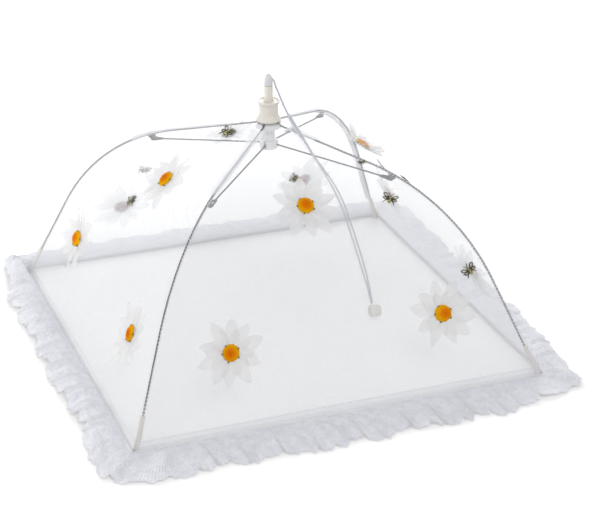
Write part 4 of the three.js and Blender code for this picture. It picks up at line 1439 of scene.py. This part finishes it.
def bee_shape():
    """Points as (sideways, upwards, lift), faces and UVs: stripes along the body, or a part's own mark."""
    parts, marks = [], []

    def add(part, mark):
        parts.append(part)
        marks.append(np.broadcast_to(mark, (len(part[0]), 2)))

    share = np.linspace(0.02, 0.98, bee_body_steps)
    angles = np.linspace(0, 2 * math.pi, bee_body_sides, endpoint=False)
    plump = np.sin(math.pi * share) ** 0.6 * (1 - 0.25 * np.cos(3 * math.pi * share))
    rings = [
        np.stack([
            bee_body_width / 2 * p * np.cos(angles), np.full(bee_body_sides, bee_body_length * (t - 0.5)),
            bee_lift + bee_body_height / 2 * (1 + p * np.sin(angles)),
        ], 1)
        for t, p in zip(share, plump)
    ]
    stripe = np.repeat(share, bee_body_sides)
    body = np.concatenate(rings), capped_faces(bee_body_steps, bee_body_sides)
    add(body, np.stack([stripe, 0 * stripe], 1))
    for hand in (-1, 1):
        for length, width, lean in bee_wings:
            around = np.linspace(0, 2 * math.pi, wing_steps, endpoint=False)
            root_up = wing_root[1] if lean > 0.3 else 0
            along = length / 2 * (1 - np.cos(around))
            aside = width / 2 * np.sin(around) * (0.5 + along / length)
            x = hand * (wing_root[0] + along * math.cos(lean) - aside * math.sin(lean))
            y = root_up + along * math.sin(lean) + aside * math.cos(lean)
            rim = np.stack([x, y, np.full(wing_steps, bee_lift + wing_lift)], 1)
            add(tube(np.vstack([rim, rim[:1]]), bee_line, line_sides, ends_closed=False), (on_dark, 0))
            face = tuple(range(wing_steps))
            add((rim, [face if hand > 0 else face[::-1]]), (on_wing, 0))
        for length, lean in bee_legs:
            t = np.linspace(0, 1, leg_steps)
            arch = np.sin(math.pi * t)
            x = hand * (leg_root[0] + length * t * math.cos(lean))
            y = leg_root[1] + length * t * math.sin(lean) + leg_bow * arch
            line = np.stack([x, y, bee_lift + leg_lift + leg_arch * arch], 1)
            add(tube(line, bee_line * (leg_thick - leg_taper * t), line_sides), (on_dark, 0))
        t = np.linspace(0, 1, feeler_steps)
        x = hand * (feeler_from + feeler_spread * t**1.4)
        y = bee_body_length * feelers_up + feeler_length * t
        feeler = np.stack([x, y, np.full(feeler_steps, bee_lift + feeler_lift)], 1)
        add(tube(feeler, bee_line * feeler_thick, line_sides), (on_dark, 0))
    points, faces = joined(*parts)
    return points, faces, np.concatenate(marks)


bee_yellow = (0.60, 0.58, 0.22, 1)
bee_shade = (0.42, 0.36, 0.10, 1)
bee_dark = (0.022, 0.021, 0.014, 1)
bee_bands = 4.5
band_edge = (-0.1, 0.25)
wing_cover = 0.30


def bee_material():
    """Printed cloth: yellow and dark bands on the body, dark lines, and sheer wings."""
    material = new_material("bee_cloth")
    tree = material.node_tree
    mark = place(tree, "SeparateXYZ", place(tree, "TexCoord").node.outputs["UV"]).node.outputs[0]
    band = calc(tree, "SINE", calc(tree, "MULTIPLY", mark, 2 * math.pi * bee_bands))
    band = place(tree, "MapRange", band, *band_edge, 0.0, 1.0)
    body = calc(tree, "GREATER_THAN", mark, on_dark / 2)
    wing = calc(tree, "LESS_THAN", mark, (on_dark + on_wing) / 2)
    pale = calc(tree, "MAXIMUM", calc(tree, "MULTIPLY", band, body), wing)
    look = use_group(material, mottle, Color=bee_yellow, Shade=bee_shade, Amount=0.8, Scale=700.0,
                     Roughness=0.7)
    return finish_with(
        material,
        Base_Color=blended(tree, pale, bee_dark, look["Color"]),
        Roughness=look["Roughness"],
        Normal=bump_of(material, look["Height"], strength=0.4, distance=0.0001),
        Alpha=place(tree, "MapRange", wing, 0.0, 1.0, 1.0, wing_cover),
    )


bee_cloth = bee_material()
bee_points, bee_faces, bee_marks = bee_shape()


def stick_bee(number, panel, across, height, heading, size=1.0):
    """One bee on a half panel; across and height say where, and heading turns it on the cloth."""
    name, seat, turn = f"bee_{number}", sewn_at(across, height), panel_turns[panel]
    points = swung(bee_points, heading) * size
    bee = sewn_piece(name, seat, turn, points, bee_faces, bee_cloth, bee_marks)
    fold_with_net(bee)


stick_bee(1, "left", across=-0.026, height=0.140, heading=0.5)
stick_bee(2, "left", across=-0.011, height=0.2035, heading=0.2, size=1.35)
stick_bee(3, "front", across=0.140, height=0.103, heading=0.6)
stick_bee(4, "front", across=0.078, height=0.166, heading=-0.5)
stick_bee(5, "front", across=-0.003, height=0.1865, heading=0.9, size=0.8)
stick_bee(6, "back", across=-0.072, height=0.149, heading=-0.7)
stick_bee(7, "back", across=0.083, height=0.118, heading=0.4)
stick_bee(8, "right", across=0.052, height=0.128, heading=0.8)
stick_bee(9, "right", across=-0.064, height=0.161, heading=-0.4)
stick_bee(10, "front", across=0.066, height=0.191, heading=0.3, size=0.55)

# Pull cord: two strands of fine white braid, tied through the tip's eye, that run down past the
# crown, where they are knotted together, and lie on the front of the net. They end in a bead, a
# rounded cube of white plastic.
strand_radius = 0.00070
strand_sides = 10
strands_apart = 0.00055
strands_spread = 0.00110
spread_from = 0.42
spread_over = 0.16
cord_over_net = 0.0026
cord_over_rim = -0.0012
cord_air = np.array([
    (-0.0030, 0.0010, 0.2565), (0.0039, 0.0, 0.258), (0.0065, -0.004, 0.250), (0.012, -0.014, 0.231),
    (0.0165, -0.029, 0.2175), (0.019, -0.045, 0.210),
])
cord_on_net = [
    (0.0225, 0.196, 0.0010), (0.0245, 0.188, 0.0020), (0.028, 0.176, 0.0028), (0.0315, 0.163, 0.0016),
    (0.034, 0.145, 0), (0.0365, 0.125, 0), (0.039, 0.105, 0), (0.0402, 0.088, 0),
]
braid_white = (0.70, 0.705, 0.76, 1)
# The bluer grey that the braid fades to in patches is painted shade.
braid_painted_shade = (0.54, 0.55, 0.64, 1)
plait_scale = 1400.0
plait_waver = 1.2
cord_steps = 300
knot_span = (0.17, 0.31)
knot_over = 0.03
knot_apart = 0.0005
knot_thicker = 0.0004
bead_size = 0.0106
bead_white = (0.70, 0.69, 0.675, 1)
bead_shade = (0.6, 0.58, 0.55, 1)
bead_steps = 12
bead_squareness = 4.5
bead_seat_gap = 0.0011
bead_seat = sewn_at(0.0399, 0.082)


def through(points, steps):
    """A smooth line through the points, evenly stepped."""
    fine_steps = 12
    points = np.asarray(points, float)
    knots = np.concatenate([[0], np.cumsum(np.linalg.norm(np.diff(points, axis=0), axis=1) ** 0.5)])
    padded = np.vstack([2 * points[0] - points[1], points, 2 * points[-1] - points[-2]])
    spots = np.concatenate([[knots[0] - (knots[1] - knots[0])], knots, [2 * knots[-1] - knots[-2]]])
    line = []
    for t in np.linspace(knots[0], knots[-1], fine_steps * len(points)):
        i = min(max(int(np.searchsorted(spots, t, side="right")) - 1, 1), len(points) - 1)
        p, s = padded[i - 1:i + 3], spots[i - 1:i + 3]
        a = [(p[k] * (s[k + 1] - t) + p[k + 1] * (t - s[k])) / (s[k + 1] - s[k]) for k in range(3)]
        b = [(a[k] * (s[k + 2] - t) + a[k + 1] * (t - s[k])) / (s[k + 2] - s[k]) for k in range(2)]
        line.append((b[0] * (s[2] - t) + b[1] * (t - s[1])) / (s[2] - s[1]))
    line = np.array(line)
    far = np.concatenate([[0], np.cumsum(np.linalg.norm(np.diff(line, axis=0), axis=1))])
    at = np.linspace(0, far[-1], steps)
    return np.stack([np.interp(at, far, line[:, k]) for k in range(3)], 1)


def braid_material():
    """Fine white braid: slanting strands in the height, and random patches of slightly blue painted shade."""
    material = new_material("braid")
    tree = material.node_tree
    where = place(tree, "TexCoord").node.outputs["Object"]
    plait = place(tree, "TexWave", where, plait_scale, plait_waver, bands_direction="DIAGONAL")
    look = use_group(material, mottle, Color=braid_white, Shade=braid_painted_shade, Amount=0.6, Scale=400.0,
                     Roughness=0.75)
    return finish_with(
        material,
        Base_Color=look["Color"],
        Roughness=look["Roughness"],
        Normal=bump_of(material, plait.node.outputs["Fac"], strength=0.6, distance=0.0002),
        Sheen_Weight=0.2,
    )


braid = braid_material()
net_route = np.concatenate([
    laid_on_net(sewn_at(across, height), np.zeros(1), np.zeros(1), cord_over_net + over)
    for across, height, over in cord_on_net
])
cord_line = through(np.vstack([cord_air, net_route]), cord_steps)
join_at = int(np.argmin(np.abs(cord_line[:, 2] - crown_high.z - cord_over_rim)))


def two_strands(line, apart, thick):
    """Two tubes side by side along a line, each set off it across the cloth."""
    off_the_net = [0.0, -0.94, 0.35]
    along = np.gradient(line, axis=0)
    along /= np.linalg.norm(along, axis=1)[:, None]
    side = np.cross(along, off_the_net)
    side /= np.linalg.norm(side, axis=1)[:, None]
    return joined(*[tube(line + sign * side * apart[:, None], thick, strand_sides) for sign in (-1, 1)])


far = np.linspace(0, 1, len(cord_line))
knotted = smooth((far - knot_span[0]) / knot_over) * smooth((knot_span[1] - far) / knot_over)
loose = smooth((far - spread_from) / spread_over) * smooth((1 - far) / spread_over)
apart = strands_apart + strands_spread * loose + knot_apart * knotted
thick = strand_radius + knot_thicker * knotted
lead_part, fall_part = slice(0, join_at + 1), slice(join_at, None)
lead_line, fall_line = cord_line[lead_part], cord_line[fall_part]
lead = new_piece("cord_lead", *two_strands(lead_line, apart[lead_part], thick[lead_part]), braid)
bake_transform(lead)
fall = new_piece("cord_fall", *two_strands(fall_line, apart[fall_part], thick[fall_part]), braid)
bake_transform(fall)
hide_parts("pull_cord")


def bead_shape():
    """A cube whose faces swell and whose edges are well rounded."""
    parts = []
    u, v = np.meshgrid(np.linspace(-1, 1, bead_steps), np.linspace(-1, 1, bead_steps))
    for axis in range(3):
        for sign in (-1, 1):
            cube = np.zeros((bead_steps, bead_steps, 3))
            cube[..., axis] = sign
            cube[..., (axis + 1) % 3] = u * sign
            cube[..., (axis + 2) % 3] = v
            size = (np.abs(cube) ** bead_squareness).sum(-1, keepdims=True) ** (1 / bead_squareness)
            parts.append((cube / size * bead_size / 2, grid_faces(bead_steps, bead_steps)))
    return joined(*parts)


bead_points, bead_faces = bead_shape()
bead_middle = laid_on_net(bead_seat, np.zeros(1), np.zeros(1), bead_seat_gap + bead_size / 2)[0]
tilt = float(panel_at(bead_seat[1])[2])
c, s = math.cos(tilt), math.sin(tilt)
bead_points = bead_points @ np.array([[1, 0, 0], [0, c, s], [0, -s, c]]) + bead_middle
bead_plastic = plastic_material("moulded_white", bead_white, bead_shade, see_through=0.0)
bead = new_piece("bead_cube", bead_points, bead_faces, bead_plastic, "cord")
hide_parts("cord_bead")
